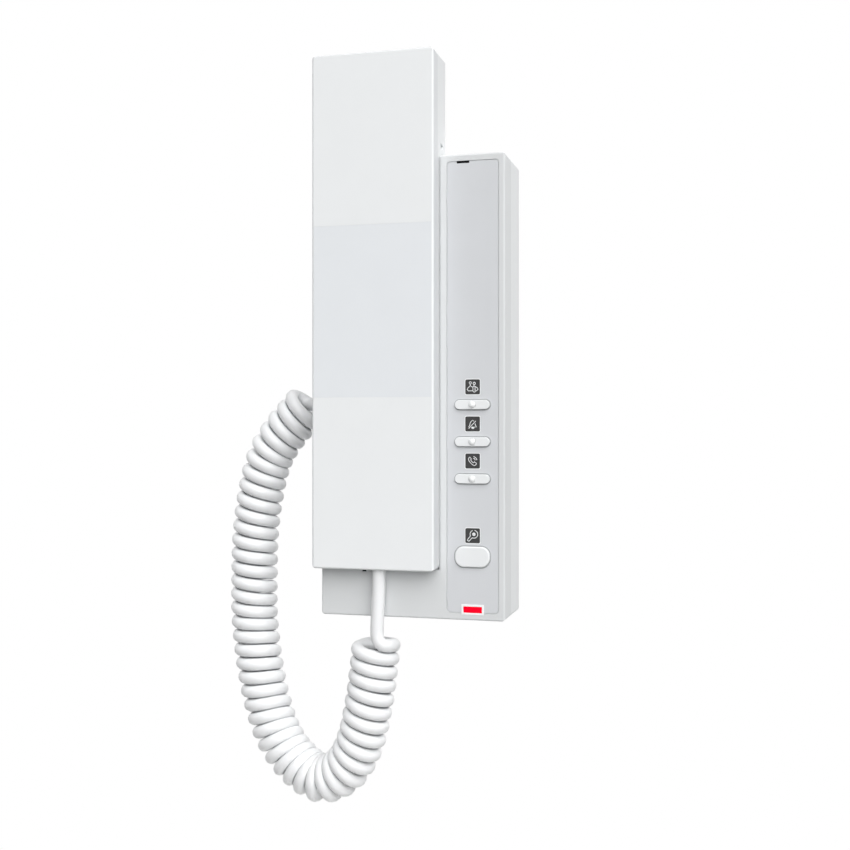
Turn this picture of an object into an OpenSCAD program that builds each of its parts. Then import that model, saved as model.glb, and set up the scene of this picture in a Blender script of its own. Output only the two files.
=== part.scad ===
// Audio intercom handset: a wall base with a control panel, a lift-off handset and a curly cord.
// Millimetres. +X right, +Y into the wall, +Z up, origin on the wall at the centre of the base.

/* [Base] */
// Width of the base
base_w = 76; // [72:0.5:86]
// Height of the base
base_h = 184; // [178:0.5:196]
// Depth of the front cover
cover_d = 12.4; // [11.8:0.1:14]
// Depth of the rear housing
housing_d = 17.6; // [17:0.1:22]
// Wall thickness of the base mouldings
wall = 2; // [1.8:0.1:2.4]
// Corner radius of the base in front view
corner_r = 1.6; // [1:0.1:3]
// Radius of the front edges of the base
edge_r = 0.8; // [0.4:0.1:1.2]

/* [Control panel] */
// Width of the raised column on the right
column_w = 26; // [25:0.1:28]
// Rim of the column beside the panel
rim_w = 2.4; // [2.2:0.1:2.8]
// Rim of the column above and below the panel
rim_h = 2.7; // [2.5:0.1:3.2]
// Open groove around the panel
groove = 0.4; // [0.2:0.05:0.6]
// Depth of the groove around the panel
groove_d = 0.4; // [0.3:0.1:1]
// Thickness of the panel
panel_t = 1.5; // [1.2:0.1:1.8]
// Thickness of the cover under the panel
seat_t = 0.9; // [0.8:0.1:1.2]
// Corner radius of the panel
panel_r = 1.2; // [0.8:0.1:2]
// Width of the pry slot in the panel's top edge
slot_w = 5.1; // [4:0.1:7]
// Height of the pry slot
slot_h = 1; // [0.8:0.1:1.4]
// Pry slot left of the panel's centre line
slot_shift = 3.9; // [2:0.1:5]

/* [Keys] */
// Width of the four keys
key_w = 14; // [13:0.1:15]
// Height of the three slim keys
key_h = 3.7; // [3.5:0.1:4.5]
// Height of the unlock key
unlock_h = 8.2; // [7.6:0.1:9]
// Corner radius of the unlock key
unlock_r = 3.6; // [2:0.1:3.7]
// Centre of the first key above the panel's bottom rim
first_key_z = 82.3; // [81.3:0.5:85.3]
// Distance from one slim key to the next
key_pitch = 14.6; // [14.2:0.1:15]
// Centre of the unlock key above the panel's bottom rim
unlock_z = 22.4; // [20.3:0.1:24.3]
// How far the keys stand out of the panel
key_proud = 1.1; // [0.9:0.1:1.6]
// Travel of a key
key_travel = 0.7; // [0.4:0.1:0.8]
// Gap around a key in the panel
key_gap = 0.3; // [0.2:0.05:0.5]
// Diameter of the dome lens on a slim key
lens_d = 2.9; // [2.7:0.1:3.2]
// Height of the dome lens
lens_h = 0.8; // [0.5:0.1:1]
// Side of the dark square icon tiles
icon_w = 5.8; // [5:0.1:6.4]
// Icon tile above the centre of its slim key
icon_rise = 7; // [6.8:0.1:7.3]
// Icon tile above the centre of the unlock key
unlock_icon_rise = 8.3; // [8.2:0.1:9]

/* [Status window] */
// Width of the red window
window_w = 7.4; // [6:0.1:9]
// Height of the red window
window_h = 2.4; // [2:0.1:2.8]
// Frame of the red window
bezel_t = 0.6; // [0.5:0.1:0.7]
// Centre of the window above the panel's bottom rim
window_rise = 1.5; // [1.4:0.1:2]

/* [Handset] */
// Width of the handset
handset_w = 50.5; // [46:0.5:52]
// Height of the handset
handset_h = 205.5; // [195:0.5:210]
// Handset's top above the top of the base
handset_rise = 41; // [38:0.5:46]
// Handset's front in front of the base
handset_proud = 8; // [7.5:0.1:8.6]
// Depth of the front shell of the handset
front_shell_d = 6.6; // [6.2:0.1:7]
// Depth of the handset along the grip
grip_d = 13.5; // [13:0.1:14]
// Depth of the handset at the earpiece
ear_d = 20.2; // [19.5:0.1:24]
// Wall thickness of the handset shells
shell_t = 1.8; // [1.6:0.1:2]
// Corner radius of the handset in front view
handset_r = 1.8; // [1.2:0.1:3]
// Radius of the handset's front edges
handset_edge_r = 0.9; // [0.5:0.1:1.2]
// Radius of the handset's rear edges
handset_back_r = 1.5; // [1:0.1:1.7]
// Thickness of the middle band inlaid in the front
band_t = 0.8; // [0.6:0.1:1]
// Gap between the handset and the column
column_gap = 0.8; // [0.5:0.1:1.5]
// Gap between the handset and the ledge below it
ledge_gap = 0.6; // [0.4:0.1:1.2]
// Height of the rubber pads the handset lies on
pad_t = 0.5; // [0.3:0.1:0.7]

/* [Earpiece and mouthpiece] */
// Earpiece centre below the handset's top
ear_drop = 20.5; // [19:0.5:21]
// Diameter of the receiver
receiver_d = 30; // [26:0.5:32]
// Depth of the receiver
receiver_t = 6; // [5:0.1:7]
// Diameter of the earpiece grille
grille_d = 25; // [22:0.5:26]
// Diameter of the microphone capsule
mic_d = 9.7; // [8:0.1:10]
// Depth of the microphone capsule
mic_t = 5; // [4:0.1:6]
// Microphone above the bottom of the handset
mic_rise = 17; // [16:0.5:20]

/* [Wall plate] */
// Width of the steel wall plate
plate_w = 58; // [54:0.5:60]
// Height of the wall plate
plate_h = 120; // [117:0.5:124]
// Thickness of the wall plate
plate_t = 1.5; // [1.2:0.1:2]
// Distance between the two wall screws
wall_screw_pitch = 60; // [58:0.5:62]
// Diameter of the wall screw holes
wall_screw_d = 4.2; // [3.6:0.1:5]
// Width of the terminal opening in the rear housing
entry_w = 34; // [30:0.5:36]
// Height of the terminal opening
entry_h = 28; // [26:0.5:30]

/* [Boards] */
// Thickness of the circuit boards
board_t = 1.6; // [1.2:0.1:2]
// Width of the key board
key_board_w = 18.5; // [17:0.1:19]
// Width of the main board
main_board_w = 42; // [40:0.5:43]
// Height of the main board
main_board_h = 84; // [82:0.5:88]
// Main board in front of the wall
main_board_off = 12; // [11.6:0.1:12.2]
// Height of a key switch body
switch_h = 3.5; // [3:0.1:3.8]

/* [Cord] */
// Diameter of the cord
cord_d = 5.4; // [5:0.1:5.6]
// Outer diameter of the curly part
coil_d = 20; // [17:0.5:21]

/* [Fasteners] */
// Diameter of the case screws
screw_d = 3; // [2.6:0.1:3.2]
// Head diameter of the case screws
head_d = 5.4; // [5:0.1:5.6]
// Head height of the case screws
head_t = 2; // [1.6:0.1:2.2]
// Diameter of the board screws
board_screw_d = 2.2; // [2:0.1:2.6]
// Head diameter of the board screws
board_head_d = 4.2; // [4:0.1:4.6]
// Head height of the board screws
board_head_t = 1.4; // [1:0.1:1.6]

/* [Hidden] */
$fn = 64;
// Radial gap between pieces that are fixed together
fit = 0.05;
// Overrun of a cut past the face it opens
past = 1;

// Intervals along an axis are written [low, high]
function mid(v) = (v[0] + v[1]) / 2;
function span(v) = v[1] - v[0];
function grow(v, d) = [v[0] - d, v[1] + d];
function around(c, w) = [c - w / 2, c + w / 2];

// Base
front_y = -(housing_d + cover_d);
seam_y = -housing_d;
base_x = around(0, base_w);
base_z = around(0, base_h);
column_x = [base_x[1] - column_w, base_x[1]];
inner_x = grow(base_x, -wall);
inner_z = grow(base_z, -wall);

// Handset at rest in the cradle
handset_x = [column_x[0] - column_gap - handset_w, column_x[0] - column_gap];
handset_mid = mid(handset_x);
handset_z = [base_z[1] + handset_rise - handset_h, base_z[1] + handset_rise];
ledge_z = handset_z[0] - ledge_gap;
handset_y = front_y - handset_proud;
split_y = handset_y + front_shell_d;
grip_y = handset_y + grip_d;
ear_y = handset_y + ear_d;
pad_air = 0.1;
cradle_y = grip_y + pad_air + pad_t;
cradle_in_y = cradle_y + wall;
ledge_notch_x = around(handset_mid - 5.7, 1.7);
ledge_notch_h = 1.6;
ledge_notch_d = 3;
pad_d = 7;
pad_shift = 16;
pad_rise = 17.6;
pad_drop = 12;
pad_zs = [ledge_z + pad_rise, base_z[1] - pad_drop];
hook_gap = 0.4;
hook_z = base_z[1] + hook_gap;

// Panel and what looks out of it
recess_x = [column_x[0] + rim_w, base_x[1] - rim_w];
recess_z = grow(base_z, -rim_h);
panel_x = grow(recess_x, -groove);
panel_z = grow(recess_z, -groove);
panel_y = [front_y, front_y + panel_t];
cover_in_y = panel_y[1] + seat_t;
key_x = mid(panel_x);
key_zs = [for (i = [0:2]) recess_z[0] + first_key_z - i * key_pitch];
unlock_mid_z = recess_z[0] + unlock_z;
icon_zs = [for (z = key_zs) z + icon_rise, unlock_mid_z + unlock_icon_rise];
icon_t = 0.4;
icon_r = 0.6;
window_x = around(key_x, window_w);
window_z = around(recess_z[0] + window_rise, window_h);
bezel_x = grow(window_x, bezel_t);
bezel_z = grow(window_z, bezel_t);
bezel_lip = 0.15;
slot_x = around(key_x - slot_shift, slot_w);
slot_z = [recess_z[1] - slot_h, recess_z[1]];
tab_l = 4;
tab_drops = [13.9, 59.3, 71.4];
tab_rises = [66.4, 6.5];
tab_zs = concat([for (d = tab_drops) recess_z[1] - d], [for (r = tab_rises) recess_z[0] + r]);

// Keys, their switches and the key board behind them
flange_grow = 0.9;
flange_t = 0.8;
flange_y = [cover_in_y + 0.1, cover_in_y + 0.1 + flange_t];
stem_y = [flange_y[1], flange_y[1] + 0.4];
plunger_d = 3.4;
plunger_in = 1;
switch_y = [stem_y[1] + key_travel + 0.1, stem_y[1] + key_travel + 0.1 + switch_h];
switch_w = 6;
switch_shift = 4.2;
switch_bore_d = plunger_d + 0.2;
switch_bore_l = plunger_in + key_travel + 0.3;
key_board_y = [switch_y[1], switch_y[1] + board_t];
key_board_x = around(key_x, key_board_w);
key_board_end = 13;
key_board_z = [window_z[0], key_zs[0] + key_board_end];
key_post_d = 5;
key_screw_l = 4;
key_post_zs = [key_zs[0] + 8.8, mid([key_zs[2], unlock_mid_z]) + 1.5, unlock_mid_z - 11.6];
led_t = 0.8;

// Wall plate and the recess for it in the rear housing
plate_x = around(0, plate_w);
plate_z = around(0, plate_h);
recess_d = plate_t + 0.3;
recess_gap = 1;
back_in_y = -(recess_d + wall);
entry_x = around(0, entry_w);
entry_z = around(0, entry_h);
plate_entry_grow = 3;
wall_screw_zs = [-wall_screw_pitch / 2, wall_screw_pitch / 2];
wall_head_d = 10;
hook_w = 8;
hook_xs = [-20, 20];
hook_zs = [-44, 44];
hook_lip = 4;
lock_w = 9;
lock_z = [base_z[0] + 7, base_z[0] + 7 + plate_t];
lock_y = -5;
lock_tab_y = -8.5;
lock_pocket_z = [base_z[0] + 4, lock_z[1] + 2.5];
lock_pocket_y = lock_tab_y - 1;

// Main board, on posts that rise from the recess
main_board_in = 4;
main_board_low = -24;
main_board_x = [base_x[0] + main_board_in, base_x[0] + main_board_in + main_board_w];
main_board_z = [main_board_low, main_board_low + main_board_h];
main_board_y = [-main_board_off - board_t, -main_board_off];
main_post_d = 6;
main_post_in = 6;
main_post_end = 4;
main_post_at = [for (x = grow(main_board_x, -main_post_in), z = grow(main_board_z, -main_post_end)) [x, z]];
board_screw_l = 5;
chip_mid = 62.5;
chip_t = 1.6;
amplifier_in = 14.5;
amplifier_w = 9;
amplifier_x = around(main_board_x[0] + amplifier_in, amplifier_w);
amplifier_z = around(main_board_z[0] + chip_mid, amplifier_w);
controller_in = 28.5;
controller_w = 5;
controller_h = 6;
controller_x = around(main_board_x[0] + controller_in, controller_w);
controller_z = around(main_board_z[0] + chip_mid, controller_h);
capacitor_d = 6.3;
capacitor_h = 6.5;
capacitor_ins = [12, 22];
capacitor_up = 40;
capacitor_xs = [for (d = capacitor_ins) main_board_x[0] + d];
capacitor_z = main_board_z[0] + capacitor_up;
reed_d = 2.4;
reed_l = 14;
reed_wire = 2.2;
terminal_poles = 4;
terminal_pitch = 6;
terminal_x = around(0, terminal_poles * terminal_pitch);
terminal_z = [-4, 6];
terminal_y = [main_board_y[1], -3];
terminal_screw_d = 4;
terminal_screw_l = 3.5;
terminal_screw_in = 0.5;
terminal_screw_z = terminal_z[1] - 3;
wire_hole_w = 3.4;
wire_hole_d = 3;
wire_hole_y = [terminal_y[0] + 3, terminal_y[0] + 6];
link_up = 8;
link_l = 12;
link_w = 5;
link_end = 3;
link_key_end = 1;
link_z = [main_board_z[0] + link_up, main_board_z[0] + link_up + link_l];
link_main_x = [main_board_x[1] - link_end - link_w, main_board_x[1] - link_end];
link_key_x = [key_board_x[0] + link_key_end, key_board_x[0] + link_key_end + link_w];
link_t = 2.5;
ribbon_t = 0.4;

// Case screws that join the rear housing and the front cover
cover_screw_in = 8;
cover_screw_drop = 12;
cover_screw_rise = 10;
cover_screw_zs = [base_z[0] + cover_screw_rise, base_z[1] - cover_screw_drop];
cover_screw_at = [
    [base_x[0] + cover_screw_in, cover_screw_zs[1], cradle_y + wall / 2],
    [key_x, cover_screw_zs[1], panel_y[1] + seat_t / 2],
    [base_x[0] + cover_screw_in, cover_screw_zs[0], front_y + wall / 2],
    [column_x[0] - 1, cover_screw_zs[0], front_y + wall / 2]];
cover_seat_y = seam_y + 5;
cover_tip_y = cradle_in_y + 0.4;
head_hole_d = head_d + 0.6;
shank_hole_d = screw_d + 0.3;
rear_boss_d = head_hole_d + 2.4;
front_boss_d = screw_d + 3.4;

// Ringer loudspeaker above slots in the bottom wall
ringer_w = 18;
ringer_h = 6.5;
ringer_x = around(key_x, ringer_w);
ringer_y = [-15.5, -4.5];
ringer_gasket_t = 0.8;
ringer_z = [inner_z[0] + ringer_gasket_t, inner_z[0] + ringer_gasket_t + ringer_h];
ringer_slots = 6;

// Inside the handset
shell_in_y = handset_y + shell_t;
grip_in_y = grip_y - shell_t;
ear_in_y = ear_y - shell_t;
shell_in_x = grow(handset_x, -shell_t);
shell_in_z = grow(handset_z, -shell_t);
band_x = grow(handset_x, -handset_edge_r);
band_z = around(mid(handset_z), handset_h / 3);
ear_z = handset_z[1] - ear_drop;
mic_z = handset_z[0] + mic_rise;
ear_gasket_t = 0.8;
mic_lip = 1;
mic_wall = 1.6;
mic_y = [grip_in_y - mic_lip - mic_t, grip_in_y - mic_lip];
mic_slot_w = 1.2;
mic_slot_h = 5;
mic_slot_pitch = 2.5;
handset_screw_w = 32;
handset_screw_zs = [handset_z[0] + 8, base_z[1] - 10];
handset_screw_at = [for (x = around(handset_mid, handset_screw_w), z = handset_screw_zs) [x, z]];
handset_seat_y = grip_in_y - 2;
handset_tip_y = shell_in_y + 0.6;
magnet_z = 4;
magnet_d = 10;
magnet_t = 3;
weight_w = 26;
weight_h = 52;
weight_t = 3.2;
weight_rise = 36;
weight_z = around(magnet_z + weight_rise, weight_h);
handset_board_w = 18;
handset_board_h = 12;
handset_board_drop = 14;
handset_board_z = around(magnet_z - handset_board_drop, handset_board_h);

// Cord: glands, route points and the axis of the curly part, hand-chosen
cord_x = handset_mid + 1.5;
cord_y = handset_y + 4.8;
gland_d = cord_d + 1;
base_gland_y = -11;
base_gland_z = -6;
base_gland_d = cord_d + 2.6;
base_gland_end = base_x[0] - 8;
coil_route = [
    [-15.4, -11, -9], [-23.4, -11, -18], [-30.4, -11, -29], [-34.5, -11, -44], [-37, -11, -62],
    [-37.5, -11, -80], [-37.4, -11, -98], [-34.7, -12, -117], [-30.5, -13, -134],
    [-24.2, -15, -147.6], [-14.7, -17, -157.6], [-3, -20, -162], [8, -23, -156],
    [15, -25, -144], [19, -26, -128], [21, -26, -114], [22, -26, -104]];
coil_axis = [for (p = coil_route) p + [base_x[0], 0, 0]];
base_lead = [
    [base_gland_end, base_gland_y, base_gland_z], [base_gland_end - 3, base_gland_y, base_gland_z],
    coil_axis[0] - (coil_axis[1] - coil_axis[0]) / 4, coil_axis[0]];
handset_lead = [
    [cord_x, cord_y, handset_z[0]], [cord_x, cord_y, handset_z[0] - 3],
    [cord_x - 0.5, cord_y, -88], [cord_x - 0.9, cord_y, -104]];

shell_white = "#e4e6e8";
panel_grey = "#d3d5d8";
band_grey = "#dfe2e6";
key_white = "#eceeef";
icon_grey = "#46474a";
board_green = "#2f6b46";
steel = "#b9bcc0";
rubber_grey = "#6d6f72";
cord_white = "#eeeeec";

// Shapes used by several pieces
module block(x, y, z) {
    translate([x[0], y[0], z[0]]) cube([span(x), span(y), span(z)]);
}

module rod_x(x, y, z, d) {
    translate([x[0], y, z]) rotate([0, 90, 0]) cylinder(h = span(x), d = d);
}

module rod_y(x, y, z, d) {
    translate([x, y[1], z]) rotate([90, 0, 0]) cylinder(h = span(y), d = d);
}

module rod_z(x, y, z, d) {
    translate([x, y, z[0]]) cylinder(h = span(z), d = d);
}

// Rectangle with round corners
module round_rect(w, h, r) {
    square([w - 2 * r, h], center = true);
    square([w, h - 2 * r], center = true);
    for (sx = [-1, 1], sy = [-1, 1])
        translate([sx * (w / 2 - r), sy * (h / 2 - r)]) circle(r);
}

// Upright plate with round corners in front view
module plate(x, y, z, r) {
    translate([mid(x), y[1], mid(z)])
        rotate([90, 0, 0])
            linear_extrude(span(y)) round_rect(span(x), span(z), r);
}

// Section of a plate whose front edges are rounded: width across, depth along y
module front_section(w, y, r) {
    translate([-w / 2, y[0] + r]) square([w, span(y) - r]);
    translate([-w / 2 + r, y[0]]) square([w - 2 * r, span(y)]);
    for (s = [-1, 1])
        translate([s * (w / 2 - r), y[0] + r]) circle(r);
}

// Upright plate with round corners and rounded front edges
module soft_plate(x, y, z, r, edge) {
    intersection() {
        plate(x, y, z, r);
        translate([mid(x), 0, z[0]]) linear_extrude(span(z)) front_section(span(x), y, edge);
        translate([x[0], 0, mid(z)])
            rotate([0, 90, 0]) linear_extrude(span(x)) front_section(span(z), y, edge);
    }
}

// The same with the rounded edges at the back
module soft_back_plate(x, y, z, r, edge) {
    mirror([0, 1, 0]) soft_plate(x, [-y[1], -y[0]], z, r, edge);
}

// Screw along y, its head towards the wall side of its seat
module screw_y(x, z, seat, tip, d, hd, ht) {
    rod_y(x, [tip, seat], z, d);
    difference() {
        rod_y(x, [seat, seat + ht], z, hd);
        for (turn = [0, 90])
            translate([x, seat + ht, z])
                rotate([0, turn, 0]) cube([hd * 0.6, ht, hd * 0.14], center = true);
    }
}

// Round tube swept along the points of a route that never runs along y
function unit(v) = v / norm(v);
function heading(p, i) = unit(p[min(i + 1, len(p) - 1)] - p[max(i - 1, 0)]);
function ring(c, t, r, n) =
    let (u = unit(cross(t, [0, 1, 0])), v = cross(t, u))
    [for (k = [0:n - 1]) c + r * (cos(360 * k / n) * u + sin(360 * k / n) * v)];

module tube(route, d, sides) {
    last = len(route) - 1;
    rings = [for (i = [0:last]) each ring(route[i], heading(route, i), d / 2, sides)];
    start_cap = [for (k = [0:sides - 1]) k];
    end_cap = [for (k = [sides - 1:-1:0]) last * sides + k];
    skin = [for (i = [0:last - 1], k = [0:sides - 1])
        let (a = i * sides + k, b = i * sides + (k + 1) % sides)
        each [[a, b + sides, b], [a, a + sides, b + sides]]];
    polyhedron(rings, concat([start_cap], skin, [end_cap]));
}

// Steel plate screwed to the wall; its hooks carry the base and its tab takes the locking screw
module wall_plate() {
    color(steel) difference() {
        union() {
            plate(plate_x, [-plate_t, 0], plate_z, 3);
            block(around(0, lock_w), [-plate_t, 0], [lock_z[0], 0]);
            block(around(0, lock_w), [lock_tab_y, 0], lock_z);
            for (x = hook_xs, z = hook_zs) {
                hook_y = back_in_y - 0.3 - plate_t;
                block(around(x, hook_w), [hook_y, -plate_t / 2], [z, z + plate_t]);
                block(around(x, hook_w), [hook_y, hook_y + plate_t], [z, z + plate_t + hook_lip]);
            }
        }
        plate(grow(entry_x, plate_entry_grow), [-plate_t - past, past],
            grow(entry_z, plate_entry_grow), 2);
        for (z = wall_screw_zs)
            rod_y(0, [-plate_t - past, past], z, wall_screw_d);
        rod_z(0, lock_y, grow(lock_z, past), screw_d + 2 * fit);
    }
}

// Rear half of the base, with the recess for the wall plate and all its posts
module rear_housing() {
    color(shell_white) difference() {
        union() {
            difference() {
                plate(base_x, [seam_y, 0], base_z, corner_r);
                block(inner_x, [seam_y - past, -wall], inner_z);
            }
            block(grow(plate_x, recess_gap + wall), [back_in_y, -wall / 2],
                grow(plate_z, recess_gap + wall));
            block(grow(around(0, lock_w), recess_gap + wall), [back_in_y, -wall / 2],
                [base_z[0] + wall / 2, 0]);
            block(grow(around(0, lock_w), recess_gap + wall), [lock_pocket_y - wall, -wall / 2],
                [base_z[0] + wall / 2, lock_pocket_z[1] + wall]);
            for (p = main_post_at)
                rod_y(p[0], [main_board_y[1], -wall / 2], p[1], main_post_d);
            for (p = cover_screw_at)
                rod_y(p[0], [seam_y, -wall / 2], p[1], rear_boss_d);
        }
        block(grow(plate_x, recess_gap), [-recess_d, past], grow(plate_z, recess_gap));
        block(grow(around(0, lock_w), recess_gap), [-recess_d, past], [lock_pocket_z[0], 0]);
        block(grow(around(0, lock_w), recess_gap), [lock_pocket_y, past], lock_pocket_z);
        rod_z(0, lock_y, [base_z[0] - past, lock_pocket_z[0] + past], shank_hole_d);
        rod_z(0, lock_y, [base_z[0] - past, base_z[0] + head_t + 0.2], head_hole_d);
        plate(entry_x, [back_in_y - past, 0], entry_z, 2);
        for (z = wall_screw_zs)
            rod_y(0, [back_in_y - past, 0], z, wall_head_d);
        for (x = hook_xs, z = hook_zs)
            block(around(x, hook_w + 1), [back_in_y - past, 0],
                [z - hook_lip - 0.5, z + plate_t + 0.2]);
        for (p = main_post_at)
            rod_y(p[0], [main_board_y[1] - past, main_board_y[1] + 6], p[1], board_screw_d + 2 * fit);
        for (p = cover_screw_at) {
            rod_y(p[0], [cover_seat_y, past], p[1], head_hole_d);
            rod_y(p[0], [seam_y - past, cover_seat_y + past], p[1], shank_hole_d);
        }
        for (i = [0:ringer_slots - 1])
            block(around(ringer_x[0] + (i + 0.5) * span(ringer_x) / ringer_slots, 1.4),
                grow(ringer_y, -2), [base_z[0] - past, inner_z[0] + past]);
        rod_x([base_x[0] - past, inner_x[0] + past], base_gland_y, base_gland_z,
            base_gland_d + 2 * fit);
    }
}

// Outline that a slim key, the unlock key or its opening has, grown all round
module key_outline(h, r, extra) {
    round_rect(key_w + 2 * extra, h + 2 * extra, r + extra);
}

// Openings for the four keys, through the depths given
module key_openings(y, extra) {
    for (z = key_zs)
        translate([key_x, y[1], z]) rotate([90, 0, 0])
            linear_extrude(span(y)) key_outline(key_h, key_h / 2 - 0.01, extra);
    translate([key_x, y[1], unlock_mid_z]) rotate([90, 0, 0])
        linear_extrude(span(y)) key_outline(unlock_h, unlock_r, extra);
}

// Front half of the base: cradle, ledge and the column that holds the panel
module front_cover() {
    color(shell_white) difference() {
        union() {
            difference() {
                soft_plate(base_x, [front_y, seam_y], base_z, corner_r, edge_r);
                block(inner_x, [cradle_in_y, seam_y + past], inner_z);
                block([column_x[0] + wall, inner_x[1]], [cover_in_y, seam_y + past], inner_z);
                block(inner_x, [cover_in_y, seam_y + past], [inner_z[0], ledge_z - wall]);
            }
            for (p = cover_screw_at)
                rod_y(p[0], [p[2], seam_y], p[1], front_boss_d);
            for (z = key_post_zs)
                rod_y(key_x, [panel_y[1] + seat_t / 2, key_board_y[0]], z, key_post_d);
        }
        block([base_x[0] - past, column_x[0]], [front_y - past, cradle_y],
            [ledge_z, base_z[1] + past]);
        plate(recess_x, [front_y - past, front_y + groove_d], recess_z, panel_r + groove);
        plate(grow(panel_x, fit), [front_y - past, panel_y[1]], grow(panel_z, fit), panel_r + fit);
        key_openings([panel_y[1] - past, cover_in_y + past], key_gap + 0.2);
        block(grow(bezel_x, fit), [front_y - past, cover_in_y + past], grow(bezel_z, fit));
        block(slot_x, [front_y - past, cover_in_y + past], slot_z);
        block(ledge_notch_x, [front_y - past, front_y + ledge_notch_d],
            [ledge_z - ledge_notch_h, ledge_z + past]);
        for (p = cover_screw_at)
            rod_y(p[0], [cover_tip_y - 0.2, seam_y + past], p[1], screw_d + 2 * fit);
        for (z = key_post_zs)
            rod_y(key_x, [key_board_y[0] - key_screw_l - 0.2, key_board_y[0] + past], z,
                board_screw_d + 2 * fit);
    }
}

// Self-tapping screws that hold the two halves of the base together
module cover_screws() {
    color(steel)
        for (p = cover_screw_at)
            screw_y(p[0], p[1], cover_seat_y, cover_tip_y, screw_d, head_d, head_t);
}

// Screw through the bottom of the base into the wall plate's tab
module locking_screw() {
    color(steel) {
        rod_z(0, lock_y, [base_z[0] + head_t + 0.2, lock_z[1] + 1.5], screw_d);
        difference() {
            rod_z(0, lock_y, [base_z[0] + 0.2, base_z[0] + head_t + 0.2], head_d);
            for (turn = [0, 90])
                translate([0, lock_y, base_z[0]])
                    rotate([0, 0, turn]) cube([head_d * 0.6, head_d * 0.14, head_t], center = true);
        }
    }
}

// Grey panel in the column, with openings for keys and shallow seats for the icon tiles
module control_panel() {
    color(panel_grey) difference() {
        union() {
            plate(panel_x, panel_y, panel_z, panel_r);
            for (z = tab_zs)
                block([recess_x[0] + fit, panel_x[0] + past], [front_y, front_y + groove_d],
                    around(z, tab_l));
        }
        key_openings(grow(panel_y, past), key_gap);
        for (z = icon_zs)
            plate(around(key_x, icon_w + 2 * fit), [front_y - past, front_y + icon_t],
                around(z, icon_w + 2 * fit), icon_r);
        block(grow(bezel_x, fit), grow(panel_y, past), grow(bezel_z, fit));
        block(slot_x, grow(panel_y, past), slot_z);
    }
}

module icon_tiles() {
    color(icon_grey)
        for (z = icon_zs)
            plate(around(key_x, icon_w), [front_y, front_y + icon_t], around(z, icon_w), icon_r);
}

module status_bezel() {
    color(key_white) difference() {
        block(bezel_x, [front_y - bezel_lip, cover_in_y], bezel_z);
        block(grow(window_x, fit), [front_y - past, cover_in_y + past], grow(window_z, fit));
    }
}

module status_window() {
    color("#ff0027") block(window_x, [front_y - bezel_lip / 2, cover_in_y + 0.4], window_z);
}

// Narrow board behind the panel, screwed to posts of the front cover
module key_board() {
    color(board_green) difference() {
        block(key_board_x, key_board_y, key_board_z);
        for (z = key_post_zs)
            rod_y(key_x, grow(key_board_y, past), z, board_screw_d + 0.2);
    }
}

module key_board_screws() {
    color(steel)
        for (z = key_post_zs)
            screw_y(key_x, z, key_board_y[1], key_board_y[0] - key_screw_l, board_screw_d, board_head_d,
                board_head_t);
}

// Where each switch sits: beside the lamp under a slim key, centred under the unlock key
switch_at = [for (z = key_zs) [key_x + switch_shift, z], [key_x, unlock_mid_z]];

module key_switches() {
    color("#2b2b2d")
        for (p = switch_at)
            difference() {
                block(around(p[0], switch_w), switch_y, around(p[1], switch_w));
                rod_y(p[0], [switch_y[0] - past, switch_y[0] + switch_bore_l], p[1], switch_bore_d);
            }
}

module key_leds() {
    color("#f3efc8")
        for (z = key_zs)
            block(around(key_x, 2), [key_board_y[0] - led_t, key_board_y[0]], around(z, 1.2));
}

module status_led() {
    color("#f3efc8")
        block(around(key_x, 3), [key_board_y[0] - led_t, key_board_y[0]],
            around(mid(window_z), 1.6));
}

// Board behind the cradle, on posts of the rear housing
module main_board() {
    color(board_green) difference() {
        block(main_board_x, main_board_y, main_board_z);
        for (p = main_post_at)
            rod_y(p[0], grow(main_board_y, past), p[1], board_screw_d + 0.2);
    }
}

module main_board_screws() {
    color(steel)
        for (p = main_post_at)
            mirror([0, 1, 0])
                screw_y(p[0], p[1], -main_board_y[0], -main_board_y[1] - board_screw_l, board_screw_d,
                    board_head_d, board_head_t);
}

// Amplifier chip, controller chip and two capacitors on the main board
module board_parts() {
    y = main_board_y[0];
    color("#333538") {
        block(amplifier_x, [y - chip_t, y], amplifier_z);
        block(controller_x, [y - chip_t, y], controller_z);
        for (x = capacitor_xs)
            rod_y(x, [y - capacitor_h, y], capacitor_z, capacitor_d);
    }
}

// Screw terminals that face the opening at the back
module terminal_block() {
    color("#3c7d58") difference() {
        block(terminal_x, terminal_y, terminal_z);
        for (i = [0:terminal_poles - 1]) {
            x = terminal_x[0] + (i + 0.5) * terminal_pitch;
            rod_y(x, [terminal_y[1] - terminal_screw_in - terminal_screw_l, terminal_y[1] + past],
                terminal_screw_z, terminal_screw_d + 2 * fit);
            block(around(x, wire_hole_w), wire_hole_y,
                [terminal_z[0] - past, terminal_z[0] + wire_hole_d]);
        }
    }
}

module terminal_screws() {
    color(steel)
        for (i = [0:terminal_poles - 1]) {
            x = terminal_x[0] + (i + 0.5) * terminal_pitch;
            end = terminal_y[1] - terminal_screw_in;
            difference() {
                rod_y(x, [end - terminal_screw_l, end], terminal_screw_z, terminal_screw_d);
                block(around(x, terminal_screw_d * 0.75), [end - 0.7, end + past],
                    around(terminal_screw_z, 0.7));
            }
        }
}

// Flat cable between the two boards, with a connector at each end
module ribbon_connectors() {
    color("#f2f2ee") {
        block(link_main_x, [main_board_y[0] - link_t, main_board_y[0]], link_z);
        block(link_key_x, [key_board_y[1], key_board_y[1] + link_t], link_z);
    }
}

module ribbon_cable() {
    start = [link_main_x[1], main_board_y[0] - link_t / 2];
    end = [link_key_x[0], key_board_y[1] + link_t / 2];
    half = [0, ribbon_t / 2];
    color("#d8d8d4")
        translate([0, 0, link_z[0] + 1])
            linear_extrude(span(link_z) - 2)
                polygon([start - half, end - half, end + half, start + half]);
}

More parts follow.
